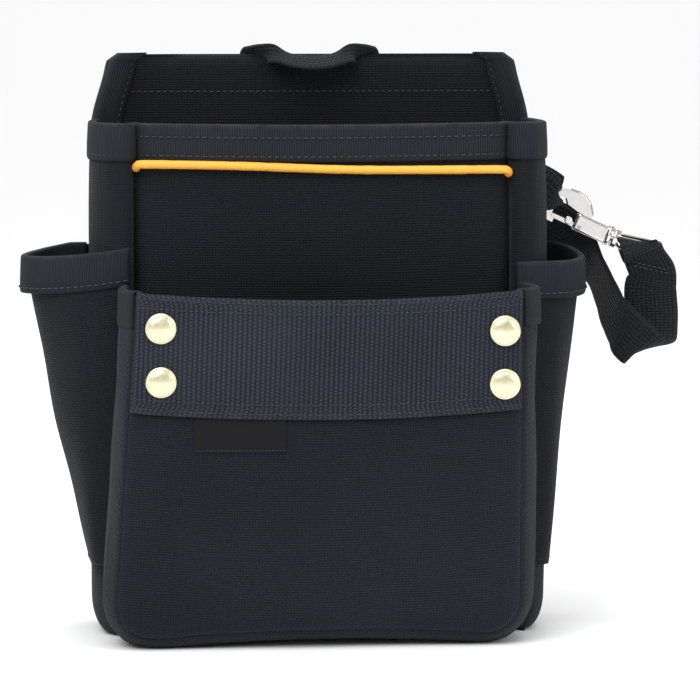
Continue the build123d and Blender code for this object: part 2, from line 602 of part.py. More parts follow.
# Folded end of the strap, sewn round the eye's near bar: it hangs down and a little outwards
near_bar = eye_plane.from_local_coords(Vector(EYE_LENGTH / 2, -EYE_HALF_WIDTH, 0))
fold_down = Vector(0.45, 0, -0.89).normalized()
slant = 1 / abs(fold_down.cross(bar_direction).length)
fold_inner = EYE_BAR_RADIUS + FOLD_GAP
fold_outer = fold_inner + STRAP_THICKNESS


def fold_profile(half_gap, top, low):
    """A level strip in the plane across the near bar."""
    corners = [(-half_gap, -top), (half_gap, -top), (half_gap, low), (-half_gap, low)]
    start = near_bar + bar_direction * (FOLD_SHIFT - FOLD_WIDTH / 2)
    places = [start + Vector(0, y, 0) + fold_down * along for y, along in corners]
    return extrude(make_face(Polyline(*places, close=True)), amount=FOLD_WIDTH, dir=bar_direction)


fold = fold_profile(fold_outer, fold_outer * slant, FOLD_LENGTH)
fold -= fold_profile(fold_inner, fold_inner * slant, FOLD_LENGTH + PAST)
save(fold, "strap_fold")

# Anchor loop: tape sewn into the side seam, gathered where the hook's nose holds it
hold = hook_plane.from_local_coords(Vector(ANCHOR_HOLD[0], 0, ANCHOR_HOLD[1]))
anchor_root_x = MAIN_HALF_WIDTH + 0.1
anchor_low_z = hold.Z - ANCHOR_GATHERED / 2
anchor_high_z = hold.Z + ANCHOR_GATHERED / 2
root_low_z = hold.Z + ANCHOR_RISE - ANCHOR_WIDTH / 2
loop_end_x = hold.X - ANCHOR_THICKNESS / 2
anchor_side = outline([
    (anchor_root_x, root_low_z),
    (loop_end_x, anchor_low_z),
    (loop_end_x, anchor_high_z),
    (anchor_root_x, root_low_z + ANCHOR_WIDTH),
])
anchor_front_y = SWIVEL.Y - ANCHOR_HALF_GAP - ANCHOR_THICKNESS
anchor_rear_y = SWIVEL.Y + ANCHOR_HALF_GAP
anchor_loop = slab(anchor_side, anchor_rear_y, anchor_rear_y + ANCHOR_THICKNESS)
anchor_loop += slab(anchor_side, anchor_front_y, anchor_front_y + ANCHOR_THICKNESS)
anchor_loop += block(
    (loop_end_x, anchor_front_y, anchor_low_z),
    (loop_end_x + ANCHOR_THICKNESS, anchor_rear_y + ANCHOR_THICKNESS, anchor_high_z),
)
save(anchor_loop, "anchor_loop")

# Tape strap: its route from the side seam to the folded end, as (place), (direction of its width).
# Places are measured out from the main pocket's side and up from the swivel. On the way out they are
# measured back from the back panel's front face, and on the way to the hook, back from the swivel.
STRAP_OUT = [
    ((1.4, 3.2, 5.4), (0.0, 0.0, 1.0)),
    ((9.0, 3.9, 4.8), (0.05, -0.1, 1.0)),
    ((17.5, 3.2, 0.2), (0.15, -0.3, 0.92)),
    ((25.0, 0.6, -7.6), (0.3, -0.66, 0.6)),
    ((30.2, -4.8, -16.8), (0.35, -0.9, 0.2)),
    ((33.6, -11.0, -26.6), (0.45, -0.88, 0.05)),
]
STRAP_RETURN = [
    ((36.6, -2.6, -36.0), (0.55, -0.83, 0.0)),
    ((40.2, -8.4, -44.6), (0.7, -0.68, 0.0)),
    ((44.4, -12.4, -51.6), (0.85, -0.45, 0.15)),
    ((49.2, -12.6, -56.0), (0.92, -0.3, 0.25)),
    ((53.0, -8.4, -57.2), (0.93, -0.2, 0.28)),
    ((55.4, -4.4, -53.2), (0.93, -0.15, 0.25)),
    ((56.2, -2.2, -44.8), (0.93, -0.2, 0.15)),
    ((55.6, -1.2, -34.8), (0.94, -0.25, 0.0)),
    ((54.2, -1.8, -24.8), (0.95, -0.2, -0.15)),
]


def strap_section(centre, width_direction, onward):
    """One cross-section of the strap, square to its route."""
    along = onward.normalized()
    wide = Vector(*width_direction)
    wide = (wide - along * wide.dot(along)).normalized()
    half = wide * (STRAP_WIDTH / 2)
    half_thick = along.cross(wide) * (STRAP_THICKNESS / 2)
    low = centre - half_thick
    high = centre + half_thick
    return make_face(Polyline(low - half, low + half, high + half, high - half, close=True))


out_start = Vector(MAIN_HALF_WIDTH, BACK_FRONT_Y, SWIVEL.Z)
return_start = Vector(MAIN_HALF_WIDTH, SWIVEL.Y, SWIVEL.Z)
strap_end = near_bar + fold_down * (FOLD_LENGTH + SEAM_GAP)
places = [out_start + Vector(*place) for place, _ in STRAP_OUT]
places += [return_start + Vector(*place) for place, _ in STRAP_RETURN]
places.append(strap_end)
widths = [wide for _, wide in STRAP_OUT + STRAP_RETURN] + [(bar_direction.X, 0, bar_direction.Z)]
ends_before = places[:1] + places[:-1]
ends_after = places[1:] + places[-1:]
onwards = [after - before for before, after in zip(ends_before, ends_after)]
strap_faces = [strap_section(*section) for section in zip(places, widths, onwards)]
save(loft(strap_faces, ruled=True), "tape_strap")
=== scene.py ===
"""Looks for the electrician's tool pouch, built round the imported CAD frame.

Lengths in the helper functions are millimetres in the row frame, and turn into metres when a mesh is made."""

import math

import bpy
import numpy as np
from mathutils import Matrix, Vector


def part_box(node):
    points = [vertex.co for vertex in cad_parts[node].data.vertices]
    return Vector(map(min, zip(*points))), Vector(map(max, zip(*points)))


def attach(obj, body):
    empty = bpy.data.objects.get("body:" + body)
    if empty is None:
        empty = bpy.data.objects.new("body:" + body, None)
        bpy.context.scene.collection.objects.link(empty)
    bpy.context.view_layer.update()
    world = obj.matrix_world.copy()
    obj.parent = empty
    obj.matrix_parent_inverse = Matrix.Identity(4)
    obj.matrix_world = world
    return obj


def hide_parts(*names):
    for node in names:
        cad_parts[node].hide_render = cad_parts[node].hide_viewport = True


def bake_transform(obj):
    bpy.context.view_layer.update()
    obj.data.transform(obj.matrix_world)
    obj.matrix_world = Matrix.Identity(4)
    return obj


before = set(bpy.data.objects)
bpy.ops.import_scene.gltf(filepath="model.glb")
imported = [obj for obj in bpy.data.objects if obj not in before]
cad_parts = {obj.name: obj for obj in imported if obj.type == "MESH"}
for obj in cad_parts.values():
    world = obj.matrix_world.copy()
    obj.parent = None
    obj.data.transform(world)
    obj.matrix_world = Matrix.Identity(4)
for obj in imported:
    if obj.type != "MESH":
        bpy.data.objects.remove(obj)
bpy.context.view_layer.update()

MM = 0.001
UV_NAME = "cloth"


def box_mm(node):
    """A CAD node's lowest and highest corners."""
    low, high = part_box(node)
    return np.array(low) / MM, np.array(high) / MM


# Sizes read from the frame
main_low, main_high = box_mm("main_front_panel")
gusset_high = box_mm("main_gusset_right")[1]
front_low, front_high = box_mm("front_panel")
band_low, band_high = box_mm("front_band")
back_low, back_high = box_mm("back_panel")
lining_low = box_mm("back_lining")[0]
tape_low, tape_high = box_mm("main_front_binding")
tunnel_low, tunnel_high = box_mm("belt_tunnel")
label_low, label_high = box_mm("label")
piping_low, piping_high = box_mm("piping")
cap_low, cap_high = box_mm("rivet_caps")
side_low = {1: box_mm("side_pocket_right")[0], -1: box_mm("side_pocket_left")[0]}
side_high = {1: box_mm("side_pocket_right")[1], -1: box_mm("side_pocket_left")[1]}

MAIN_X = main_high[0]
MAIN_Y = main_low[1]
MAIN_TOP = main_high[2]
GUSSET_X = gusset_high[0]
REAR_Y = gusset_high[1]
FRONT_X = front_high[0]
FRONT_Y = front_low[1]
FRONT_TOP = front_high[2]
SEAM_Z = front_low[2]
CORNER = 16.0
TAPE_REACH = tape_high[2] - tape_low[2]
WALL = 2.0
THREAD_PITCH = 3.0


# Small geometry helpers

def spline(points, count):
    """A Catmull-Rom curve through points, as evenly counted samples."""
    p = np.array(points, float)
    p = np.vstack([2 * p[0] - p[1], p, 2 * p[-1] - p[-2]])
    spans = len(p) - 3
    t = np.linspace(0, spans - 1e-9, count)
    k = t.astype(int)
    f = (t - k)[:, None]
    a, b, c, d = p[k], p[k + 1], p[k + 2], p[k + 3]
    return 0.5 * (
        2 * b + (c - a) * f + (2 * a - 5 * b + 4 * c - d) * f ** 2 + (3 * b - 3 * c + d - a) * f ** 3
    )


def even(points, count):
    """The same curve with evenly spaced samples."""
    steps = np.r_[0, np.cumsum(np.linalg.norm(np.diff(points, axis=0), axis=1))]
    t = np.linspace(0, steps[-1], count)
    return np.stack([np.interp(t, steps, points[:, i]) for i in range(points.shape[1])], axis=1)


def unit(v):
    return v / np.maximum(np.linalg.norm(v, axis=-1, keepdims=True), 1e-9)


def arc_length(points):
    return np.r_[0, np.cumsum(np.linalg.norm(np.diff(points, axis=0), axis=1))]


def ripple(x, y, scale, seed):
    """Soft irregular waves of about unit height, the same on every run."""
    draw = np.random.default_rng(seed)
    total = np.zeros(np.broadcast(x, y).shape)
    for _ in range(6):
        angle, phase = draw.uniform(0, 2 * np.pi, 2)
        size = scale * draw.uniform(0.6, 1.8)
        total = total + np.sin((x * np.cos(angle) + y * np.sin(angle)) * 2 * np.pi / size + phase)
    return total / 2.6


def step(x):
    """A smooth step from 0 at 0 to 1 at 1."""
    x = np.clip(x, 0, 1)
    return x * x * (3 - 2 * x)


def new_object(
    name, points, faces, material, body="pouch", node=None, slot=None, uv=None, wear=None, smooth=True,
):
    """A mesh piece that rides on a body and may stand for CAD nodes."""
    mesh = bpy.data.meshes.new(name)
    mesh.from_pydata((np.asarray(points) * MM).tolist(), [], faces)
    if uv is not None:
        layer = mesh.uv_layers.new(name=UV_NAME)
        corners = np.zeros(len(mesh.loops), int)
        mesh.loops.foreach_get("vertex_index", corners)
        layer.data.foreach_set("uv", (np.asarray(uv)[corners] * MM).astype(np.float32).ravel())
    if wear is not None:
        layer = mesh.attributes.new("wear", "FLOAT", "POINT")
        layer.data.foreach_set("value", np.asarray(wear, np.float32).ravel())
    if smooth:
        mesh.polygons.foreach_set("use_smooth", [True] * len(mesh.polygons))
    mesh.materials.append(material)
    piece = bpy.data.objects.new(name, mesh)
    bpy.context.scene.collection.objects.link(piece)
    if body:
        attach(piece, body)
    if node:
        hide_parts(*([node] if isinstance(node, str) else node))
    return piece


def grid_faces(rows, columns, wrap=False):
    """Quads between neighbouring rows and columns, closed round the columns where wrap is set."""
    index = np.arange(rows * columns).reshape(rows, columns)
    if wrap:
        index = np.hstack([index, index[:, :1]])
    quads = np.stack([index[:-1, :-1], index[:-1, 1:], index[1:, 1:], index[1:, :-1]], axis=-1)
    return quads.reshape(-1, 4).tolist()


def cloth(name, grid, material, thickness=WALL, flip=False, edge_wear=None, rim=0.4, **options):
    """A fabric wall from a grid of points on its outer face, with a real thickness behind it."""
    rows, columns = grid.shape[:2]
    along = np.cumsum(np.linalg.norm(np.diff(grid, axis=1, prepend=grid[:, :1]), axis=-1), axis=1)
    down = np.cumsum(np.linalg.norm(np.diff(grid, axis=0, prepend=grid[:1]), axis=-1), axis=0)
    middle = along[:, columns // 2:columns // 2 + 1]
    uv = np.stack([along - middle, down], axis=-1).reshape(-1, 2)
    if edge_wear is None:
        edge_wear = np.zeros((rows, columns))
    faces = grid_faces(rows, columns)
    if flip:
        faces = [face[::-1] for face in faces]
    piece = new_object(name, grid.reshape(-1, 3), faces, material, uv=uv, wear=edge_wear, **options)
    solidify = piece.modifiers.new("wall", "SOLIDIFY")
    solidify.thickness = thickness * MM
    solidify.offset = -1
    if rim:
        bevel = piece.modifiers.new("soft_edge", "BEVEL")
        bevel.width = rim * MM
        bevel.segments = 2
        bevel.limit_method = "ANGLE"
        bevel.angle_limit = math.radians(60)
    return piece


def tape_over(name, rim, outward, reach, material, half=WALL / 2 + 0.9, inside_reach=None, **options):
    """Binding tape folded over a rim: rim holds points on top of a wall, outward its level normals."""
    inside_reach = inside_reach or reach
    bend = np.linspace(0, np.pi, 7)
    rise = 0.9
    section = [
        (half + 0.15, -reach), (half + 0.45, -reach * 0.93), (half + 0.4, -reach * 0.6), (half + 0.15, -1.2),
    ]
    section += [(half * math.cos(a), rise * math.sin(a)) for a in bend]
    section += [(-half, -1.2), (-half, -inside_reach * 0.5), (-half, -inside_reach)]
    section = np.array(section)
    out = unit(outward)
    grid = rim[None] + section[
        :, 0, None, None,
    ] * out[None] + section[:, 1, None, None] * np.array([0, 0, 1.0])
    length = arc_length(rim)
    pucker = 0.16 * np.abs(np.sin(length * np.pi / THREAD_PITCH))
    grid[1:3] += out[None] * pucker[None, :, None]
    wear = np.repeat(np.exp(-((section[:, 1] - rise) / 1.4) ** 2)[:, None], len(rim), axis=1)
    return cloth(name, grid, material, thickness=0.8, edge_wear=wear, rim=0, **options)


def ribbon(name, centre, wide, width, thickness, material, **options):
    """A flat strap along a centreline, with its width direction and its width at each point."""
    along = unit(np.gradient(centre, axis=0))
    wide = unit(wide - along * np.sum(wide * along, axis=1, keepdims=True))
    thin = np.cross(along, wide)
    width = np.broadcast_to(np.asarray(width, float), (len(centre),))
    across = np.array([-0.5, -0.49, -0.42, -0.25, 0, 0.25, 0.42, 0.49])
    top = np.array([0.0, 0.32, 0.5, 0.5, 0.5, 0.5, 0.5, 0.32])
    across = np.r_[across, 0.5, across[:0:-1]]
    top = np.r_[top, 0.0, -top[:0:-1]]
    grid = centre[:, None] + wide[:, None] * (across[None, :, None] * width[:, None, None])
    grid = grid + thin[:, None] * (top * thickness)[None, :, None]
    rows, columns = grid.shape[:2]
    length = arc_length(centre)
    uv = np.stack(
        [np.repeat(across[None] * width.mean(), rows, 0), np.repeat(length[:, None], columns, 1)], -1,
    )
    wear = np.repeat(np.clip(np.abs(across[None]) * 2 - 0.8, 0, 1), rows, axis=0)
    points = np.vstack([grid.reshape(-1, 3), centre[:1], centre[-1:]])
    faces = grid_faces(rows, columns, wrap=True)
    first, last = rows * columns, rows * columns + 1
    faces += [[first, (i + 1) % columns, i] for i in range(columns)]
    start = (rows - 1) * columns
    faces += [[last, start + i, start + (i + 1) % columns] for i in range(columns)]
    uv = np.vstack([uv.reshape(-1, 2), [[0, 0]], [[0, length[-1]]]])
    wear = np.r_[wear.reshape(-1), 0, 0]
    return new_object(name, points, faces, material, uv=uv, wear=wear, **options)


stitches = {"pouch": [], "handle": []}


def sew(points, normal, pitch=THREAD_PITCH, body="pouch", share=0.72, size=0.27):
    """A row of stitches along a line that lies on a surface with the given outward normals."""
    length = arc_length(points)[-1]
    count = max(2, int(length / pitch))
    ends = even(np.hstack([points, np.broadcast_to(normal, points.shape)]), 2 * count + 1)
    for i in range(count):
        a, b = ends[2 * i], ends[2 * i + 2]
        middle = (a + b) / 2
        start = middle[:3] + (a[:3] - middle[:3]) * share
        stop = middle[:3] + (b[:3] - middle[:3]) * share
        stitches[body].append((start, stop, unit(middle[3:]), size))


def stitch_mesh(name, rows, material, body):
    """Every stitch of one body, each a small raised thread."""
    ring = np.linspace(0, 2 * np.pi, 6, endpoint=False)
    shares = np.array([0.0, 0.12, 0.5, 0.88, 1.0])
    radius = np.array([0.25, 0.85, 1.0, 0.85, 0.25])
    lift = np.array([-1.1, 0.1, 0.55, 0.1, -1.1])
    points, faces = [], []
    base = np.array(grid_faces(5, 6, wrap=True))
    for start, stop, normal, size in rows:
        along = unit(stop - start)
        side = np.cross(along, normal)
        centre = start + (stop - start) * shares[:, None] + normal * (lift * size)[:, None]
        circle = side[None, None] * np.cos(ring)[
            None, :, None,
        ] + normal[None, None] * np.sin(ring)[None, :, None]
        offset = len(points) * 30
        points.append((centre[:, None] + circle * (radius * size)[:, None, None]).reshape(-1, 3))
        faces.append(base + offset)
    points = np.vstack(points)
    return new_object(name, points, np.vstack(faces).tolist(), material, body=body, slot="webbing")


# Materials

class Nodes:
    """Short names for the node graph of one material."""

    def __init__(self, name):
        self.material = bpy.data.materials.new(name)
        self.material.use_nodes = True
        self.tree = self.material.node_tree
        self.shader = self.tree.nodes["Principled BSDF"]

    def node(self, kind, **settings):
        node = self.tree.nodes.new(kind)
        for key, value in settings.items():
            setattr(node, key, value)
        return node

    def put(self, socket, value):
        if isinstance(value, bpy.types.NodeSocket):
            self.tree.links.new(value, socket)
        else:
            socket.default_value = value

    def math(self, operation, a, b=0.0, c=0.0):
        node = self.node("ShaderNodeMath", operation=operation)
        for socket, value in zip(node.inputs, (a, b, c)):
            self.put(socket, value)
        return node.outputs[0]

    def noise(self, scale, detail=3.0, vector=None, roughness=0.5):
        node = self.node("ShaderNodeTexNoise")
        node.inputs["Scale"].default_value = scale
        node.inputs["Detail"].default_value = detail
        node.inputs["Roughness"].default_value = roughness
        if vector is None:
            vector = self.node("ShaderNodeTexCoord").outputs["Object"]
        self.put(node.inputs["Vector"], vector)
        return node.outputs["Fac"]

    def ramp(self, value, low, high, to_low=0.0, to_high=1.0):
        node = self.node("ShaderNodeMapRange", clamp=True)
        for socket, item in zip(node.inputs, (value, low, high, to_low, to_high)):
            self.put(socket, item)
        return node.outputs[0]

    def mix(self, factor, a, b):
        node = self.node("ShaderNodeMix", data_type="RGBA")
        self.put(node.inputs[0], factor)
        self.put(node.inputs[6], a)
        self.put(node.inputs[7], b)
        return node.outputs[2]

    def cloth_uv(self):
        node = self.node("ShaderNodeUVMap", uv_map=UV_NAME)
        split = self.node("ShaderNodeSeparateXYZ")
        self.put(split.inputs[0], node.outputs[0])
        return split.outputs[0], split.outputs[1]

    def wear(self):
        return self.node("ShaderNodeAttribute", attribute_name="wear").outputs["Fac"]

    def bump(self, height, distance, strength=1.0, below=None):
        node = self.node("ShaderNodeBump")
        node.inputs["Strength"].default_value = strength
        node.inputs["Distance"].default_value = distance
        self.put(node.inputs["Height"], height)
        if below is not None:
            self.put(node.inputs["Normal"], below)
        return node.outputs[0]


def plain_weave(n, u, v, pitch_u, pitch_v):
    """Height of over-and-under threads, 0 to 1."""
    su = n.math("DIVIDE", u, pitch_u)
    sv = n.math("DIVIDE", v, pitch_v)
    cell = n.math("ADD", n.math("FLOOR", su), n.math("FLOOR", sv))
    over = n.math("ABSOLUTE", n.math("MODULO", cell, 2.0))
    wave_u = n.math("SINE", n.math("MULTIPLY", n.math("FRACT", su), math.pi))
    wave_v = n.math("SINE", n.math("MULTIPLY", n.math("FRACT", sv), math.pi))
    warp = n.math("MULTIPLY", wave_u, n.math("MULTIPLY_ADD", wave_v, 0.55, 0.45))
    weft = n.math("MULTIPLY", wave_v, n.math("MULTIPLY_ADD", wave_u, 0.55, 0.45))
    mixed = n.node("ShaderNodeMix", data_type="FLOAT")
    n.put(mixed.inputs[0], over)
    n.put(mixed.inputs[2], warp)
    n.put(mixed.inputs[3], weft)
    return mixed.outputs[0]


def fabric(
    name, dark, light, pitch=(0.00115, 0.00115), depth=0.00032, roughness=0.82, sheen=0.06,
    worn=(0.05, 0.052, 0.06, 1),
):
    """A coated plain weave with thread-to-thread colour change, soft blotches and pale worn edges; its raised
    threads are painted lighter and the hollows between them darker, as painted shade.
    """
    n = Nodes(name)
    u, v = n.cloth_uv()
    height = plain_weave(n, u, v, *pitch)
    blotch = n.ramp(n.noise(9.0, 4.0), 0.3, 0.7)
    thread = n.ramp(n.noise(900.0, 2.0), 0.3, 0.7)
    # Colour from weave height is painted shade: raised threads lighter, the hollows between them darker; the noise
    # terms add random tone.
    weave_shade_and_tone = n.math(
        "MULTIPLY_ADD", height, 0.55, n.math("MULTIPLY_ADD", thread, 0.25, n.math("MULTIPLY", blotch, 0.25)),
    )
    colour = n.mix(weave_shade_and_tone, dark, light)
    rub = n.math("MULTIPLY", n.wear(), n.ramp(n.noise(120.0, 5.0), 0.35, 0.75))
    colour = n.mix(n.math("MULTIPLY", rub, 0.5), colour, worn)
    n.put(n.shader.inputs["Base Color"], colour)
    uneven = n.math("ADD", height, n.math("MULTIPLY", blotch, 0.4))
    n.put(n.shader.inputs["Roughness"], n.ramp(uneven, 0.0, 1.4, roughness + 0.1, roughness - 0.12))
    n.shader.inputs["Sheen Weight"].default_value = sheen
    n.shader.inputs["Specular IOR Level"].default_value = 0.16
    n.shader.inputs["Sheen Roughness"].default_value = 0.4
    soft = n.bump(n.noise(60.0, 4.0), 0.0006, 0.35)
    n.put(n.shader.inputs["Normal"], n.bump(height, depth, 0.9, soft))
    return n.material


def ribbed(
    name, dark, light, rib=0.0011, weft=0.0007, depth=0.0003, roughness=0.8, along_v=False, rib_share=0.75,
):
    """Grosgrain tape or heavy webbing: ribs with fine threads across them, the rib tops painted lighter and the
    hollows between ribs darker as painted shade.
    """
    n = Nodes(name)
    u, v = n.cloth_uv()
    if along_v:
        u, v = v, u
    wave_u = n.math("ABSOLUTE", n.math("SINE", n.math("MULTIPLY", u, math.pi / rib)))
    row = n.math("FLOOR", n.math("DIVIDE", u, rib))
    shifted = n.math("MULTIPLY_ADD", row, weft * 0.5, v)
    wave_v = n.math("ABSOLUTE", n.math("SINE", n.math("MULTIPLY", shifted, math.pi / weft)))
    height = n.math("MULTIPLY_ADD", wave_u, rib_share, n.math("MULTIPLY", wave_v, 1 - rib_share))
    blotch = n.ramp(n.noise(14.0, 4.0), 0.3, 0.7)
    # Colour from rib height is painted shade: rib tops lighter, the hollows between them darker; the blotch noise
    # adds random tone.
    weave_shade_and_tone = n.math("MULTIPLY_ADD", height, 0.75, n.math("MULTIPLY", blotch, 0.25))
    colour = n.mix(weave_shade_and_tone, dark, light)
    rub = n.math("MULTIPLY", n.wear(), n.ramp(n.noise(150.0, 5.0), 0.3, 0.7))
    colour = n.mix(n.math("MULTIPLY", rub, 0.45), colour, (0.055, 0.057, 0.065, 1))
    n.put(n.shader.inputs["Base Color"], colour)
    n.put(n.shader.inputs["Roughness"], n.ramp(height, 0.0, 1.0, roughness + 0.1, roughness - 0.1))
    n.shader.inputs["Sheen Weight"].default_value = 0.02
    n.shader.inputs["Specular IOR Level"].default_value = 0.16
    n.shader.inputs["Sheen Roughness"].default_value = 0.4
    soft = n.bump(n.noise(80.0, 4.0), 0.0005, 0.3)
    n.put(n.shader.inputs["Normal"], n.bump(height, depth, 0.95, soft))
    return n.material


def metal(name, colour, roughness, scratch=0.1, dirt=None):
    """Plated metal with fine scratches and a little tarnish."""
    n = Nodes(name)
    cloud = n.ramp(n.noise(160.0, 5.0), 0.35, 0.7)
    n.put(
        n.shader.inputs["Base Color"],
        n.mix(n.math("MULTIPLY", cloud, 0.35), colour, dirt or tuple(c * 0.7 for c in colour[:3]) + (1,))
    )
    n.shader.inputs["Metallic"].default_value = 1.0
    n.put(n.shader.inputs["Roughness"], n.ramp(n.noise(700.0, 6.0), 0.3, 0.7, roughness, roughness + scratch))
    n.put(n.shader.inputs["Normal"], n.bump(n.noise(1400.0, 3.0), 0.00002, 0.3))
    return n.material


def speckled(name, dark, light, roughness=0.6, scale=500.0, depth=0.0001):
    """A plain moulded or cord surface with a fine grain."""
    n = Nodes(name)
    grain = n.noise(scale, 4.0)
    n.put(n.shader.inputs["Base Color"], n.mix(n.ramp(grain, 0.3, 0.7), dark, light))
    n.put(n.shader.inputs["Roughness"], n.ramp(grain, 0.3, 0.7, roughness, roughness + 0.15))
    n.put(n.shader.inputs["Normal"], n.bump(grain, depth, 0.6))
    return n.material


FABRIC_FRONT = fabric("fabric_front", (0.0016, 0.0019, 0.0032, 1), (0.0150, 0.0175, 0.0270, 1))
FABRIC_MAIN = fabric("fabric_main", (0.0012, 0.0013, 0.0021, 1), (0.0115, 0.0125, 0.0180, 1))
FABRIC_BACK = fabric("fabric_back", (0.0012, 0.0013, 0.0018, 1), (0.0110, 0.0118, 0.0155, 1))
TAPE_CLOTH = ribbed("binding_tape", (0.0016, 0.0018, 0.0026, 1), (0.0220, 0.0235, 0.0310, 1))
BAND_CLOTH = ribbed(
    "band_webbing", (0.0014, 0.0019, 0.0034, 1), (0.0310, 0.0370, 0.0520, 1), rib=0.0022, weft=0.0016, depth=0.0009,
    rib_share=0.6,
)
STRAP_CLOTH = fabric(
    "strap_webbing", (0.0012, 0.0013, 0.0018, 1), (0.0230, 0.0240, 0.0300, 1), pitch=(0.0019, 0.0013), depth=0.0005,
    roughness=0.75,
)
PIPING_CLOTH = speckled(
    "piping_cord", (0.86, 0.36, 0.035, 1), (0.96, 0.46, 0.06, 1), roughness=0.5, scale=900.0,
)
THREAD = speckled("thread", (0.006, 0.006, 0.008, 1), (0.045, 0.046, 0.055, 1), roughness=0.6, scale=1500.0)
RIVET = metal("rivet_plate", (0.90, 0.83, 0.58, 1), 0.26, 0.12)
NICKEL = metal("hook_plate", (0.80, 0.79, 0.77, 1), 0.07, 0.08)
STEEL = metal("spring_steel", (0.5, 0.5, 0.52, 1), 0.3, 0.1)
BOARD = speckled("stiff_board", (0.02, 0.02, 0.022, 1), (0.05, 0.05, 0.055, 1), roughness=0.7)


# Shapes of the walls

def foot_inset(z):
    """How far a wall draws in where it turns under to the floor."""
    share = np.clip(1 - z / CORNER, 0, 1)
    return 8.0 * (1 - np.sqrt(1 - share ** 2 + 1e-9))


def front_half_width(z):
    """Half the front panel's width, with its round lower corners."""
    sides = FRONT_X + 1.0 + 4.5 * (1 - np.clip(z / FRONT_TOP, 0, 1))
    drop = np.clip((CORNER - (z - SEAM_Z)) / CORNER, 0, 1)
    return sides - CORNER + CORNER * np.sqrt(np.clip(1 - drop ** 2, 0, 1))


def front_shift(z):
    """The soft front pocket leans a little to the left towards its foot."""
    return -1.0 - 5.5 * (1 - np.clip(z / FRONT_TOP, 0, 1))


def foot_lift(x):
    """The front pocket's lower edge bows up between its corners."""
    return 3.6 * np.clip(1 - (x / 72.0) ** 2, 0, 1)


def front_rim(x):
    """Height of the front pocket's rim, which dips in the middle."""
    return FRONT_TOP + 3.5 * (x / FRONT_X) ** 2


def front_face(u, z):
    """The front panel's outer face for u from -1 to 1 across it."""
    half = front_half_width(z)
    x = u * half + front_shift(z)
    from_side = (1 - np.abs(u)) * half
    belly = 2.6 * (1 - u ** 2) * np.sin(np.pi * np.clip((z - SEAM_Z) / 190, 0, 1)) ** 0.7
    edge = 3.2 * np.exp(-from_side / 2.6) + 3.2 * np.exp(-(z - SEAM_Z) / 2.6)
    waves = (0.6 * ripple(x, z, 80, 3) + 0.2 * ripple(x, z, 28, 4)) * step(from_side / 14)
    return np.stack(np.broadcast_arrays(x, FRONT_Y - belly + np.minimum(edge, 3.6) - waves, z), axis=-1)


def build_front_panel():
    u = np.sin(np.linspace(-1, 1, 121) * np.pi / 2)
    v = np.linspace(1, 0, 111)
    rim = front_rim(u * FRONT_X)
    z = SEAM_Z + (rim[None] - SEAM_Z) * v[:, None] ** 1.15
    grid = front_face(u[None], z)
    grid[..., 2] += foot_lift(grid[..., 0]) * (1 - v[:, None]) ** 4
    cloth("front_panel_cloth", grid, FABRIC_FRONT, node="front_panel", slot="pouch_fabric", flip=True)


def seam_outline(count):
    """The front seam from the left rim, round the foot, to the right rim, with outward normals."""
    z_side = np.linspace(1, 0, 60)
    left = [(-1, z) for z in SEAM_Z + (front_rim(FRONT_X) - SEAM_Z) * z_side]
    z = np.array([z for _, z in left])
    left_line = np.stack([-front_half_width(z) + front_shift(z), z], axis=1)
    right_line = np.stack([front_half_width(z) + front_shift(z), z], axis=1)[::-1]
    line = even(np.vstack([left_line, right_line]), count)
    tangent = unit(np.gradient(line, axis=0))
    normal = np.stack([tangent[:, 1], -tangent[:, 0]], axis=1)
    return line, normal


def gusset_section(t):
    """Outward swell of the front gusset from its front seam, t = 0, to the main pocket, t = 1."""
    return 9.5 * np.minimum(
        1, (np.clip(t, 0, 1) / 0.33),
    ) ** 0.55 + 2.2 * np.sin(np.pi * t) - 1.5 * step((t - 0.7) / 0.3)


def front_gusset_grid():
    line, normal = seam_outline(260)
    normal = -normal if normal[0, 0] > 0 else normal
    t = np.linspace(0, 1, 25)
    swell = gusset_section(t)
    under = 1 - 0.42 * np.abs(normal[:, 1]) ** 1.5
    side_share = np.where(normal[:, 0] < 0, 0.45, 0.72)
    out = swell[:, None] * (under * (1 + (side_share - 1) * np.abs(normal[:, 0])))[None]
    x = line[None, :, 0] + normal[None, :, 0] * out
    z = np.maximum(line[None, :, 1] + normal[None, :, 1] * out, 0.25)
    z = z + foot_lift(x) * np.clip(-normal[None, :, 1], 0, 1) * (1 - t[:, None])
    y = FRONT_Y + 3.4 + (MAIN_Y - 2.4 - FRONT_Y - 3.4) * t[:, None] + 0 * x
    wave = 0.5 * ripple(y * 1.5, z + x, 60, 9) * np.sin(np.pi * t)[:, None]
    x = x + normal[None, :, 0] * wave
    return np.stack([x, y, z], axis=-1)


def build_front_gusset():
    grid = front_gusset_grid()
    cloth("front_gusset_cloth", grid, FABRIC_FRONT, node="front_gusset", slot="pouch_fabric", flip=True)
    for side, column, name in ((-1, 0, "left"), (1, -1, "right")):
        rim = grid[:, column].copy()
        rim[:, 2] += 1.0
        out = np.tile([side * 1.0, 0, 0], (len(rim), 1))
        rim[:, 0] -= side * WALL / 2
        tape_over(
            f"front_rim_tape_{name}", rim, out, TAPE_REACH, TAPE_CLOTH,
            node=f"front_gusset_binding_{name}", slot="binding_tape", flip=side < 0,
        )
        line = rim + [side * (WALL / 2 + 1.2), 0, -TAPE_REACH + 2.5]
        sew(line, [side, 0, 0])


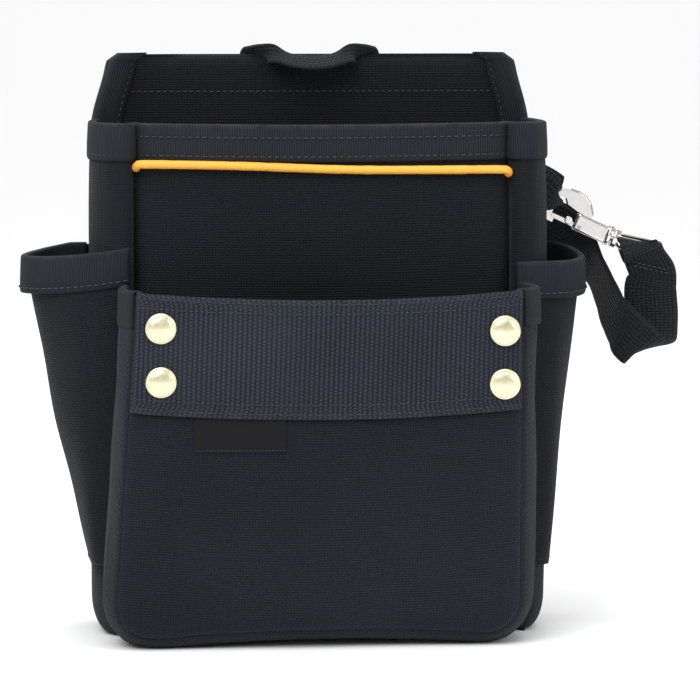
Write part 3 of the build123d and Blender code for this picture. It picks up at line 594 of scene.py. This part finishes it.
def build_band():
    """Heavy webbing over the top of the front pocket, ribbed from edge to edge."""
    u = np.linspace(-1, 1, 401)
    v = np.linspace(0, 1, 26)
    height = band_high[2] - 2.0 - band_low[2]
    top = front_rim(u * FRONT_X) + 1.2
    z = top[None] - (height + 0.8) * v[:, None]
    grid = front_face(u[None] * 0.998, np.minimum(z, FRONT_TOP + 8))
    rib = 0.28 * np.abs(np.sin(u * FRONT_X * np.pi / 2.2))[None]
    flat = step(np.minimum(v, 1 - v)[:, None] * 14)
    grid[..., 1] -= 2.0 + rib * flat + 0.25 * ripple(grid[..., 0], grid[..., 2], 40, 5)
    wear = np.exp(-np.minimum(v, 1 - v) * 22)[:, None] + 0 * u[None]
    cloth(
        "front_band_webbing", grid, BAND_CLOTH, thickness=1.9, node="front_band", slot="band_webbing",
        flip=True, edge_wear=wear,
    )
    front = np.array([0, -1.0, 0])
    for row in (1, 3, -2, -4):
        sew(grid[row] + [0, -0.15, 0], front, pitch=2.6)


def wall_grid(plan, top, foot, rows=60, rim_sag=0.0, seed=1, swell=0.0):
    """A sewn wall along a plan curve of x and y, turning in at the floor. Its outside is on its right."""
    tangent = unit(np.gradient(plan, axis=0))
    normal = np.stack([tangent[:, 1], -tangent[:, 0]], axis=1)
    z = foot + (top - foot) * np.linspace(1, 0, rows) ** 1.25
    length = arc_length(plan)
    share = length / length[-1]
    middle = np.sin(np.pi * share)
    out = -foot_inset(z)[:, None] + swell * middle[None] * np.sin(np.pi * np.clip(z / top, 0, 1))[:, None]
    out = out + 0.5 * ripple(length[None], z[:, None], 80, seed) * middle[None] ** 0.5
    x = plan[None, :, 0] + normal[None, :, 0] * out
    y = plan[None, :, 1] + normal[None, :, 1] * out
    sag = rim_sag * middle[None] * step((z[:, None] - top + 40) / 40)
    return np.stack([x, y, z[:, None] - sag + 0 * x], axis=-1), normal


def build_main_pocket():
    """Front panel between two swelling gussets, with deep seams where they meet."""
    x = MAIN_X * np.sin(np.linspace(-1, 1, 101) * np.pi / 2)
    valley = 7.0 * np.exp(-(MAIN_X - np.abs(x)) / 3.6)
    plan = np.stack([x, MAIN_Y + valley - 2.0 * (1 - (x / MAIN_X) ** 2)], axis=1)
    grid, _ = wall_grid(plan, MAIN_TOP, SEAM_Z, rim_sag=1.0, seed=11)
    lower = step((FRONT_TOP + 10 - grid[..., 2]) / 40)
    grid[..., 1] += lower * 2.0 * (1 - (grid[..., 0] / MAIN_X) ** 2)
    cloth("main_front_cloth", grid, FABRIC_MAIN, node="main_front_panel", slot="pouch_fabric", flip=True)
    rim = grid[0] + [0, WALL / 2, 0]
    out = np.tile([0, -1.0, 0], (len(rim), 1))
    tape_over(
        "main_rim_tape_front", rim, out, TAPE_REACH, TAPE_CLOTH, node="main_front_binding",
        slot="binding_tape",
    )
    for drop in (5.0, TAPE_REACH - 2.6):
        sew(rim + [0, -WALL / 2 - 1.5, -drop], [0, -1, 0], pitch=3.2, size=0.34)
    for side, name in ((1, "right"), (-1, "left")):
        knots = [
            (MAIN_X + 0.2, MAIN_Y + 4.8), (MAIN_X + 1.4, MAIN_Y + 0.4), (MAIN_X + 5.5, MAIN_Y - 1.6),
            (MAIN_X + 11.5, MAIN_Y + 1.2),
            (GUSSET_X, MAIN_Y + 11), (GUSSET_X + 1.2, MAIN_Y + 24), (GUSSET_X, REAR_Y - 12),
            (GUSSET_X - 2.5, REAR_Y - 0.2),
        ]
        plan = even(spline(knots, 200), 61)
        grid, normal = wall_grid(plan, MAIN_TOP, 0.3, seed=20 + side, swell=1.2)
        rim = grid[0].copy()
        rim[:, :2] -= normal * WALL / 2
        out = np.hstack([normal, np.zeros((len(normal), 1))])
        flipped = np.array([side, 1, 1.0])
        cloth(
            f"main_gusset_cloth_{name}", grid * flipped, FABRIC_MAIN,
            node=f"main_gusset_{name}", slot="pouch_fabric", flip=side > 0,
        )
        tape_over(
            f"main_rim_tape_{name}", rim * flipped, out * flipped, TAPE_REACH, TAPE_CLOTH,
            node=f"main_gusset_binding_{name}", slot="binding_tape", flip=side < 0,
        )
        line = (rim + out * (WALL / 2 + 1.2) + [0, 0, -TAPE_REACH + 2.6]) * flipped
        sew(line, out * flipped)


def build_main_floor():
    low, high = box_mm("main_bottom")
    x = np.linspace(low[0], high[0], 41)
    t = np.linspace(0, 1, 25)
    y = low[1] + (high[1] - low[1]) * t
    z = 0.3 + 0.35 * (1 + ripple(x[None], y[:, None], 50, 2)) + 5.0 * np.exp(-(y - low[1]) / 3.0)[:, None]
    grid = np.stack(np.broadcast_arrays(x[None], y[:, None], z), axis=-1)
    cloth("main_floor_cloth", grid, FABRIC_MAIN, node="main_bottom", slot="pouch_fabric", flip=True)


def build_piping():
    """Orange-yellow cord under the main rim, its ends tucked into the side seams."""
    y = MAIN_Y - 2.6
    left = piping_high[2] - 1.9
    right = piping_low[2] + 1.9
    knots = [
        (-MAIN_X + 0.6, y + 4.5, left - 1.6), (-MAIN_X + 1.6, y + 1.6, left - 0.2),
        (-MAIN_X + 6, y, left + 0.2), (-40, y - 1.2, left - 0.6),
        (10, y - 1.6, (left + right) / 2 - 1.0), (50, y - 1.0, right + 0.2), (MAIN_X - 6, y, right + 0.2),
        (MAIN_X - 1.6, y + 1.6, right - 0.4), (MAIN_X - 0.6, y + 4.5, right - 1.8),
    ]
    line = even(spline(knots, 300), 160)
    along = unit(np.gradient(line, axis=0))
    side = unit(np.cross(along, [0, 1.0, 0]))
    other = np.cross(side, along)
    ring = np.linspace(0, 2 * np.pi, 16, endpoint=False)
    radius = 1.9 + 0.05 * ripple(arc_length(line), 0 * line[:, 0], 9, 8)
    circle = side[:, None] * np.cos(ring)[None, :, None] + other[:, None] * np.sin(ring)[None, :, None]
    grid = line[:, None] + circle * radius[:, None, None]
    faces = grid_faces(len(line), len(ring), wrap=True)
    faces += [list(range(len(ring)))[::-1], [(len(line) - 1) * len(ring) + i for i in range(len(ring))]]
    new_object("piping_cord", grid.reshape(-1, 3), faces, PIPING_CLOTH, node="piping", slot="piping_cord")


def build_back_panel():
    """The padded back: front lining, board and rear fabric, closed round its edges."""
    shoulder, top = 224.0, back_high[2]
    z = back_low[2] + (top - back_low[2]) * np.linspace(0, 1, 90)
    narrow = step((z - shoulder + 8) / (top - shoulder + 8))
    half = back_high[0] - 7.5 * narrow ** 1.5 - 5.0 * np.clip((z - top + 5) / 5, 0, 1) ** 3
    half = half - 8.0 * np.clip(1 - (z - back_low[2]) / 16, 0, 1) ** 2
    u = np.sin(np.linspace(-1, 1, 81) * np.pi / 2)
    x = u[None] * half[:, None]
    pad = np.sqrt(np.clip(1 - np.abs(u[None]) ** 24, 0, 1)) * np.sqrt(
        np.clip(1 - np.abs(2 * (z[:, None] - z[0]) / (z[-1] - z[0]) - 1) ** 60, 0, 1)
    )
    middle_y = (lining_low[1] + back_high[1]) / 2
    curl = -5.0 * step((np.abs(u[None]) - 0.72) / 0.28) * step((z[:, None] - MAIN_TOP + 30) / 55)
    waves = 0.5 * ripple(x, z[:, None], 90, 15)
    thick = (back_high[1] - lining_low[1]) / 2
    front = middle_y + curl - waves * 0.6 - thick * pad
    rear = middle_y + curl - waves * 0.3 + thick * pad
    zz = z[:, None] + 0 * x
    front_grid = np.stack([x, front, zz], axis=-1)
    rear_grid = np.stack([x, rear, zz], axis=-1)
    rows, columns = x.shape
    points = np.vstack([front_grid.reshape(-1, 3), rear_grid.reshape(-1, 3)])
    uv = np.vstack([front_grid[..., [0, 2]].reshape(-1, 2)] * 2)
    count = rows * columns
    faces = grid_faces(rows, columns)
    faces = faces + [[i + count for i in face[::-1]] for face in faces]
    border = list(range(columns)) + [r * columns + columns - 1 for r in range(1, rows)]
    border += [
        (rows - 1) * columns + c for c in range(columns - 2, -1, -1)
    ] + [r * columns for r in range(rows - 2, 0, -1)]
    faces += [[b, a, a + count, b + count] for a, b in zip(border, border[1:] + border[:1])]
    new_object(
        "back_panel_cloth", points, faces, FABRIC_BACK, node=[
            "back_panel", "back_lining",
        ], slot="pouch_fabric",
        uv=uv, wear=np.zeros(2 * count),
    )
    # Stitch line across the panel where the tunnel is sewn on behind, and the top hem
    row = int(np.argmin(np.abs(z - (tunnel_high[2] - 4))))
    sew(front_grid[row, 4:-4] + [0, -0.1, 0], [0, -1, 0])
    sew(rear_grid[-6, 4:-4] + [0, 0.1, 0], [0, 1, 0])
    # Binding down both side edges, folded round the panel
    for side, name in ((1, "right"), (-1, "left")):
        first = int(np.argmin(np.abs(z - 22)))
        edge_x = half[first:] * side
        edge_z = z[first:]
        tape = 12.6
        offsets = [
            (tape, -1), (tape * 0.6, -1), (3.0, -1), (0.8, -0.98), (-0.6, -0.72), (-1.1, 0), (-0.6, 0.72),
            (0.8, 0.98), (3.0, 1), (tape * 0.6, 1), (tape, 1),
        ]
        strip = []
        for inward, depth in offsets:
            near = np.clip(np.abs(edge_x) - max(inward, 0), 0, None) / half[first:]
            bend = -5.0 * step((near - 0.72) / 0.28) * step((edge_z - MAIN_TOP + 30) / 55)
            px = edge_x - side * inward
            py = middle_y + bend + depth * (thick + 1.0)
            strip.append(np.stack([px, py, edge_z + 0.6 * (edge_z > top - 1)], axis=-1))
        strip = np.array(strip)
        wear = np.array([0, 0, 0.1, 0.7, 1, 1, 1, 0.7, 0.1, 0, 0])[:, None] + 0 * edge_z[None]
        cloth(
            f"edge_tape_{name}", strip, TAPE_SIDE, thickness=0.8, rim=0, edge_wear=wear,
            node=f"edge_binding_{name}", slot="binding_tape", flip=side > 0,
        )
        sew(strip[0] + [side * 1.6, -0.15, 0], [0, -1, 0])
        sew(strip[-1] + [side * 1.6, 0.15, 0], [0, 1, 0])


TAPE_SIDE = ribbed("edge_tape", (0.0016, 0.0018, 0.0026, 1), (0.0200, 0.0215, 0.0280, 1), along_v=True)


def build_tunnel():
    """Strip across the back for the belt, bowed out between its sewn edges."""
    x = np.linspace(-1, 1, 81) * tunnel_high[0]
    height = tunnel_high[2] - tunnel_low[2]
    t = np.linspace(0, 1, 61)
    z = tunnel_high[2] - height * t
    rise = step(np.minimum(t, 1 - t) * height / 18 - 0.3)
    depth = tunnel_high[1] - back_high[1] - WALL
    y = back_high[1] + WALL + 0.2 + depth * rise[:, None] + 0.4 * ripple(
        x[None], z[:, None], 70, 31,
    ) * rise[:, None]
    grid = np.stack(np.broadcast_arrays(x[None], y, z[:, None]), axis=-1)
    wear = np.exp(-(tunnel_high[0] - np.abs(x)) / 1.5)[None] + 0 * t[:, None]
    cloth("belt_tunnel_cloth", grid, FABRIC_BACK, node="belt_tunnel", slot="pouch_fabric", edge_wear=wear)
    rear = [0, 1.0, 0]
    for row in (2, 5, -3, -6):
        sew(grid[row] + [0, 0.1, 0], rear)
    for column in (2, -3):
        sew(grid[:, column] + [0, 0.15, 0], rear)


def side_plan(side, share):
    """A side pocket's plan at a share of its height, 0 at the foot and 1 at the rim."""
    bulge = side_high[1][0] - GUSSET_X if side > 0 else -side_low[-1][0] - GUSSET_X
    out = 1.8 + (bulge - 1.8) * share ** 0.93
    knots = [
        (MAIN_X + 1.2, MAIN_Y - 1.8), (MAIN_X + 8 + 0.1 * out, MAIN_Y - 1.9 + 0.4 * share),
        (GUSSET_X + 0.45 * out, MAIN_Y + 5.0),
        (GUSSET_X + out, MAIN_Y + 19), (GUSSET_X + out, REAR_Y - 22), (GUSSET_X + 0.62 * out, REAR_Y - 7),
        (GUSSET_X + 0.6, REAR_Y - 1.5),
    ]
    return even(spline(knots, 160), 61)


def build_side_pocket(side, name):
    foot, rim_z = side_low[side][2], side_high[side][2]
    rows = 50
    share = np.linspace(1, 0, rows)
    grid = []
    for s in share:
        plan = side_plan(side, s)
        length = arc_length(plan)
        across = length / length[-1]
        if side < 0:
            dip = 4.5 * np.sin(np.pi * np.clip(across * 1.1, 0, 1)) ** 0.8 * s ** 6
            lift = 1.5 * (1 - across) * s ** 6
        else:
            dip = 6.5 * step((1.05 - across) / 0.75) * s ** 6
            lift = 0
        tangent = unit(np.gradient(plan, axis=0))
        normal = np.stack([tangent[:, 1], -tangent[:, 0]], axis=1)
        z = foot + (rim_z - foot) * s
        wave = 0.8 * ripple(length, z + 0 * length, 60, 40 + side) * np.sin(np.pi * across)
        xy = plan + normal * wave[:, None]
        grid.append(np.column_stack([xy, z - dip + lift]))
    grid = np.array(grid)
    flipped = np.array([side, 1, 1.0])
    cloth(
        f"side_pocket_cloth_{name}", grid * flipped, FABRIC_MAIN, thickness=1.6,
        node=f"side_pocket_{name}", slot="pouch_fabric", flip=side > 0,
    )
    plan = grid[0][:, :2]
    tangent = unit(np.gradient(plan, axis=0))
    normal = np.column_stack([tangent[:, 1], -tangent[:, 0], np.zeros(len(plan))])
    rim = (grid[0] - normal * 0.8)[1:-1]
    normal = normal[1:-1]
    tape_over(
        f"side_rim_tape_{name}", rim * flipped, normal * flipped, TAPE_REACH, TAPE_CLOTH, half=1.6,
        node=f"side_binding_{name}", slot="binding_tape", flip=side < 0,
    )
    sew((rim + normal * 2.4 + [0, 0, -TAPE_REACH + 2.4]) * flipped, normal * flipped, pitch=3.2, size=0.34)
    sew((grid[-2] + normal[0] * 0.1) * flipped, [side, 0, 0])


def build_rivets():
    """Four two-piece rivets: a domed cap with a rolled rim on each."""
    radius = 7.0
    xs = (cap_low[0] + radius, cap_high[0] - radius)
    zs = (cap_low[2] + radius, cap_high[2] - radius)
    lower_right = 2.2
    profile = np.array([
        (0.0, 2.35), (2.5, 2.25), (4.6, 1.9), (6.0, 1.35), (6.5, 1.15),
        (6.9, 1.3), (7.35, 1.25), (7.7, 0.7), (7.6, 0.0), (6.6, -0.3),
    ])
    profile *= [0.89, 0.95]
    ring = np.linspace(0, 2 * np.pi, 48, endpoint=False)
    points, faces = [], []
    for x in xs:
        for z in zs:
            offset = len(points) * len(profile) * len(ring)
            u = x / FRONT_X
            surface = front_face(np.array([u]), np.array([z]))[0]
            out, lift = profile[:, 0, None], profile[:, 1, None]
            px = x + out * np.cos(ring) + 0 * lift
            pz = z - (lower_right if x > 0 else 0) + out * np.sin(ring) + 0 * lift
            py = surface[1] - 2.1 - lift + 0 * px
            points.append(np.stack([px, py, pz], axis=-1).reshape(-1, 3))
            faces += [[i + offset for i in face] for face in grid_faces(len(profile), len(ring), wrap=True)]
    new_object("rivet_cap_domes", np.vstack(points), faces, RIVET, node="rivet_caps", slot="rivet_brass")


def build_label():
    """Small woven label, tucked under the band."""
    x = np.linspace(label_low[0], label_high[0], 41)
    z = np.linspace(label_high[2], label_low[2], 19)
    u = (x[None] - front_shift(z)[:, None]) / front_half_width(z)[:, None]
    grid = front_face(u, z[:, None] + 0 * u)
    grid[..., 1] -= 0.7 + 0.12 * ripple(grid[..., 0], grid[..., 2], 25, 6)
    cloth(
        "woven_label", grid, LABEL_CLOTH, thickness=0.5, rim=0.15, node="label", slot="label_fabric",
        flip=True,
    )
    sew(grid[-2] + [0, -0.1, 0], [0, -1, 0], pitch=1.6, size=0.18)


LABEL_CLOTH = fabric(
    "label_weave", (0.0015, 0.0015, 0.0020, 1), (0.0075, 0.0075, 0.0095, 1), pitch=(0.0004, 0.0004),
    depth=0.00008, roughness=0.6,
)


def build_handle():
    """Hanging loop: webbing sewn in behind, standing up at both ends and flopping forward between them."""
    top = back_high[2]
    loop_high = box_mm("handle_loop")[1]
    rear_y = loop_high[1]
    half_centre = [
        (-28.5, rear_y + 1.0, top - 2), (-26.8, rear_y - 0.2, top + 0.4), (-22.5, rear_y - 4.5, top + 0.8),
        (-17, rear_y - 10.5, top - 0.4), (-9, rear_y - 13.5, top - 3.0), (0, rear_y - 14.5, top - 4.0),
    ]
    half_wide = [
        (1, 0, 0), (0.95, -0.1, -0.2), (0.75, -0.35, -0.4), (0.35, -0.6, -0.5), (0.1, -0.72, -0.5),
        (0, -0.75, -0.5),
    ]
    centre = half_centre + [(-x, y, z) for x, y, z in half_centre[-2::-1]]
    wide = half_wide + [(-x, y, z) for x, y, z in half_wide[-2::-1]]
    count = 110
    width = 8.0 + 1.6 * np.sin(np.pi * np.linspace(0, 1, count)) ** 0.5
    piece = ribbon(
        "handle_loop_webbing", spline(centre, count), spline(wide, count), width, 1.6, STRAP_CLOTH, body=None,
        node="handle_loop", slot="webbing",
    )
    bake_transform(piece)
    low, high = box_mm("handle_tabs")
    for side, name in ((-1, "left"), (1, "right")):
        x = side * (high[0] - 4.5)
        rise = [(x, high[1] - 0.9, low[2]), (x, high[1] - 0.9, top - 2), (x, high[1] - 1.2, top - 0.5)]
        line = even(np.array(rise), 24)
        ribbon(
            f"handle_tab_{name}", line, np.tile([1.0, 0, 0], (24, 1)), 8.6, 1.5, STRAP_CLOTH,
            node="handle_tabs" if side < 0 else None, slot="webbing",
        )


def build_anchor():
    """Tape loop out of the side seam, gathered where the hook's nose holds it."""
    low, high = box_mm("anchor_loop")
    front_y, rear_y = low[1] + 0.9, high[1] - 0.9
    middle_y = (front_y + rear_y) / 2
    end_x, hold_z = high[0] - 0.9, low[2] + 2.0
    centre = [
        (low[0] - 4, rear_y, hold_z + 7.5), (low[0] + 3, rear_y, hold_z + 6.5),
        (low[0] + 9.5, rear_y - 0.5, hold_z + 3.5),
        (end_x - 0.8, rear_y - 3.5, hold_z + 0.2), (end_x, middle_y, hold_z),
        (end_x - 0.8, front_y + 3.5, hold_z + 0.2),
        (low[0] + 8, front_y + 0.5, hold_z + 1.5), (low[0] + 3, front_y, hold_z + 5),
        (low[0] - 4, front_y, hold_z + 7.5),
    ]
    wide = [
        (0, 0, 1), (0.1, 0, 1), (0.45, 0, 0.9), (0.3, 0.1, 1), (0, 0, 1), (0, 0, 1), (0, 0, 1), (0, 0, 1),
        (0, 0, 1),
    ]
    count = 110
    line = spline(centre, count)
    rear = line[:, 1] > middle_y
    width = np.interp(line[:, 0], [low[0] - 4, low[0] + 5, end_x - 2, end_x], [24, 19, 4, 2.2])
    width = np.where(
        rear, np.interp(line[:, 0], [low[0] - 4, low[0] + 9.5, end_x - 2, end_x], [24, 19, 4, 2.2]), width,
    )
    ribbon(
        "anchor_loop_tape", line, spline(wide, count), width, 1.5, STRAP_CLOTH, node="anchor_loop",
        slot="webbing",
    )


STRAP_ROUTE = [
    ((99.5, 46.8, 181.0), (0.0, 0.0, 1.0)), ((104.0, 47.4, 181.0), (0.0, 0.0, 1.0)),
    ((110.0, 47.9, 180.4), (0.05, -0.1, 1.0)),
    ((118.5, 47.2, 175.8), (0.15, -0.3, 0.92)), ((126.0, 44.6, 168.0), (0.3, -0.66, 0.6)),
    ((131.4, 39.2, 158.8), (0.25, -0.9, 0.2)), ((134.8, 33.0, 149.2), (0.28, -0.92, 0.05)),
    ((137.4, 26.6, 140.6), (0.36, -0.9, 0.0)), ((140.4, 21.0, 135.0), (0.52, -0.8, 0.0)),
    ((144.2, 17.0, 129.4), (0.75, -0.55, 0.12)), ((148.6, 16.2, 126.0), (0.9, -0.3, 0.27)),
    ((152.2, 19.6, 125.4), (0.93, -0.2, 0.32)), ((154.4, 24.0, 128.6), (0.93, -0.15, 0.3)),
    ((155.2, 26.6, 135.2), (0.93, -0.2, 0.15)), ((155.4, 27.6, 141.6), (0.94, -0.25, 0.0)),
    ((154.6, 27.0, 151.0), (0.95, -0.2, -0.15)),
]


def build_strap():
    """Tape strap: out of the side seam, down, round and up, then folded over the eye's near bar and sewn."""
    low, high = box_mm("strap_fold")
    near_y = (low[1] + high[1]) / 2
    slope = unit(np.array([0.45, 0, -0.89]))
    bar = unit(np.array([0.975, 0, -0.2215]))
    middle = np.array([(low[0] + high[0]) / 2, near_y, (low[2] + high[2]) / 2])
    over = middle - slope * 3.2
    wide_end = tuple(bar)
    route = [p for p, _ in STRAP_ROUTE] + [
        tuple(over + slope * 13 + [0, 0.9, 0]), tuple(over + slope * 6 + [0, -1.6, 0]), tuple(
            over + slope * 1.5 + [0, -2.7, 0]
        ),
        tuple(over - slope * 2.9), tuple(
            over + slope * 1.5 + [0, 2.7, 0]
        ), tuple(over + slope * 6 + [0, 2.5, 0]),
        tuple(over + slope * 11.5 + [0, 3.2, 0]),
    ]
    wide = [w for _, w in STRAP_ROUTE] + [wide_end] * 7
    count = 320
    centre = even(np.hstack([spline(route, count), spline(wide, count)]), count)
    from_fold = arc_length(centre[:, :3])
    total = from_fold[-1]
    squeeze = step((from_fold - (total - 44)) / 26)
    full_width, narrowing = 24.2, 5.5
    width = full_width - narrowing * squeeze
    ribbon(
        "tape_strap_webbing", centre[:, :3], centre[:, 3:], width, 1.6, STRAP_CLOTH,
        node=["tape_strap", "strap_fold"], slot="webbing",
    )
    front = np.array([0, -1.0, 0.1])
    for along in (9.0, 11.0):
        seam = over + slope * along + [0, -2.2, 0]
        line = np.array([seam - bar * 8.5, seam + bar * 8.5])
        sew(line, front, pitch=2.2)


def dress(nodes, material):
    """Gives carried-over CAD nodes a finished material."""
    for name in nodes:
        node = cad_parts[name]
        for slot in node.material_slots:
            slot.material = material


build_front_panel()
build_front_gusset()
build_band()
build_main_pocket()
build_main_floor()
build_piping()
build_back_panel()
build_tunnel()
build_side_pocket(1, "right")
build_side_pocket(-1, "left")
build_rivets()
build_label()
build_handle()
build_anchor()
build_strap()
dress(["hook_body", "hook_eye", "hook_gate"], NICKEL)
dress(["gate_pin", "gate_spring"], STEEL)
dress(["rivet_burrs"], RIVET)
dress(["back_board", "bottom_board"], BOARD)
stitch_mesh("pouch_stitching", stitches["pouch"], THREAD, "pouch")


# Floor, light and camera

def build_stage():
    """Pale level floor, so wide that it fills every view."""
    reach = 40.0
    mesh = bpy.data.meshes.new("studio_floor")
    corners = [(-reach, -reach, 0), (reach, -reach, 0), (reach, reach, 0), (-reach, reach, 0)]
    mesh.from_pydata(corners, [], [(0, 1, 2, 3)])
    n = Nodes("studio_paper")
    n.shader.inputs["Base Color"].default_value = (0.92, 0.92, 0.92, 1)
    n.shader.inputs["Roughness"].default_value = 0.95
    mesh.materials.append(n.material)
    floor = bpy.data.objects.new("studio_floor", mesh)
    bpy.context.scene.collection.objects.link(floor)


def area_light(name, place, target, size, power):
    """A rectangular light panel that faces its target."""
    data = bpy.data.lights.new(name, "AREA")
    data.shape = "RECTANGLE"
    data.size, data.size_y = size
    data.energy = power
    light = bpy.data.objects.new(name, data)
    light.location = place
    light.rotation_euler = (Vector(target) - Vector(place)).to_track_quat("-Z", "Y").to_euler()
    bpy.context.scene.collection.objects.link(light)


def build_light():
    """Soft studio light: three large panels, an even ceiling and a pale surround."""
    surround, ceiling_power, ceiling_spread = 0.5, 2.0, math.radians(70)
    world = bpy.data.worlds.new("studio")
    world.use_nodes = True
    world.node_tree.nodes["Background"].inputs[0].default_value = (1, 1, 1, 1)
    world.node_tree.nodes["Background"].inputs[1].default_value = surround
    bpy.context.scene.world = world
    bpy.context.scene.view_settings.view_transform = "Standard"
    middle = (0, 0, 0.13)
    area_light("key", (-0.9, -1.3, 1.4), middle, (1.0, 1.0), 16)
    area_light("fill", (1.3, -1.1, 0.8), middle, (0.8, 0.8), 6)
    area_light("rear", (0.3, 1.3, 1.3), middle, (1.2, 0.8), 10)
    data = bpy.data.lights.new("ceiling", "SUN")
    data.energy = ceiling_power
    data.angle = ceiling_spread
    ceiling = bpy.data.objects.new("ceiling", data)
    ceiling.rotation_euler = (math.radians(24), math.radians(-10), 0)
    bpy.context.scene.collection.objects.link(ceiling)


def build_camera():
    """Camera in front of the pouch, a little to its left and above its middle."""
    yaw, rise, distance = math.radians(6.0), math.radians(5.0), 2.0
    view_width = 0.306
    target = Vector((7.4, FRONT_Y, 132.0)) * MM
    back = Vector((-math.sin(yaw) * math.cos(rise), -math.cos(yaw) * math.cos(rise), math.sin(rise)))
    camera = bpy.data.objects.new("camera", bpy.data.cameras.new("camera"))
    camera.data.sensor_width = 36
    camera.data.lens = camera.data.sensor_width * distance / view_width
    camera.location = target + back * distance
    camera.rotation_euler = back.to_track_quat("Z", "Y").to_euler()
    bpy.context.scene.collection.objects.link(camera)
    bpy.context.scene.camera = camera


build_stage()
build_light()
build_camera()
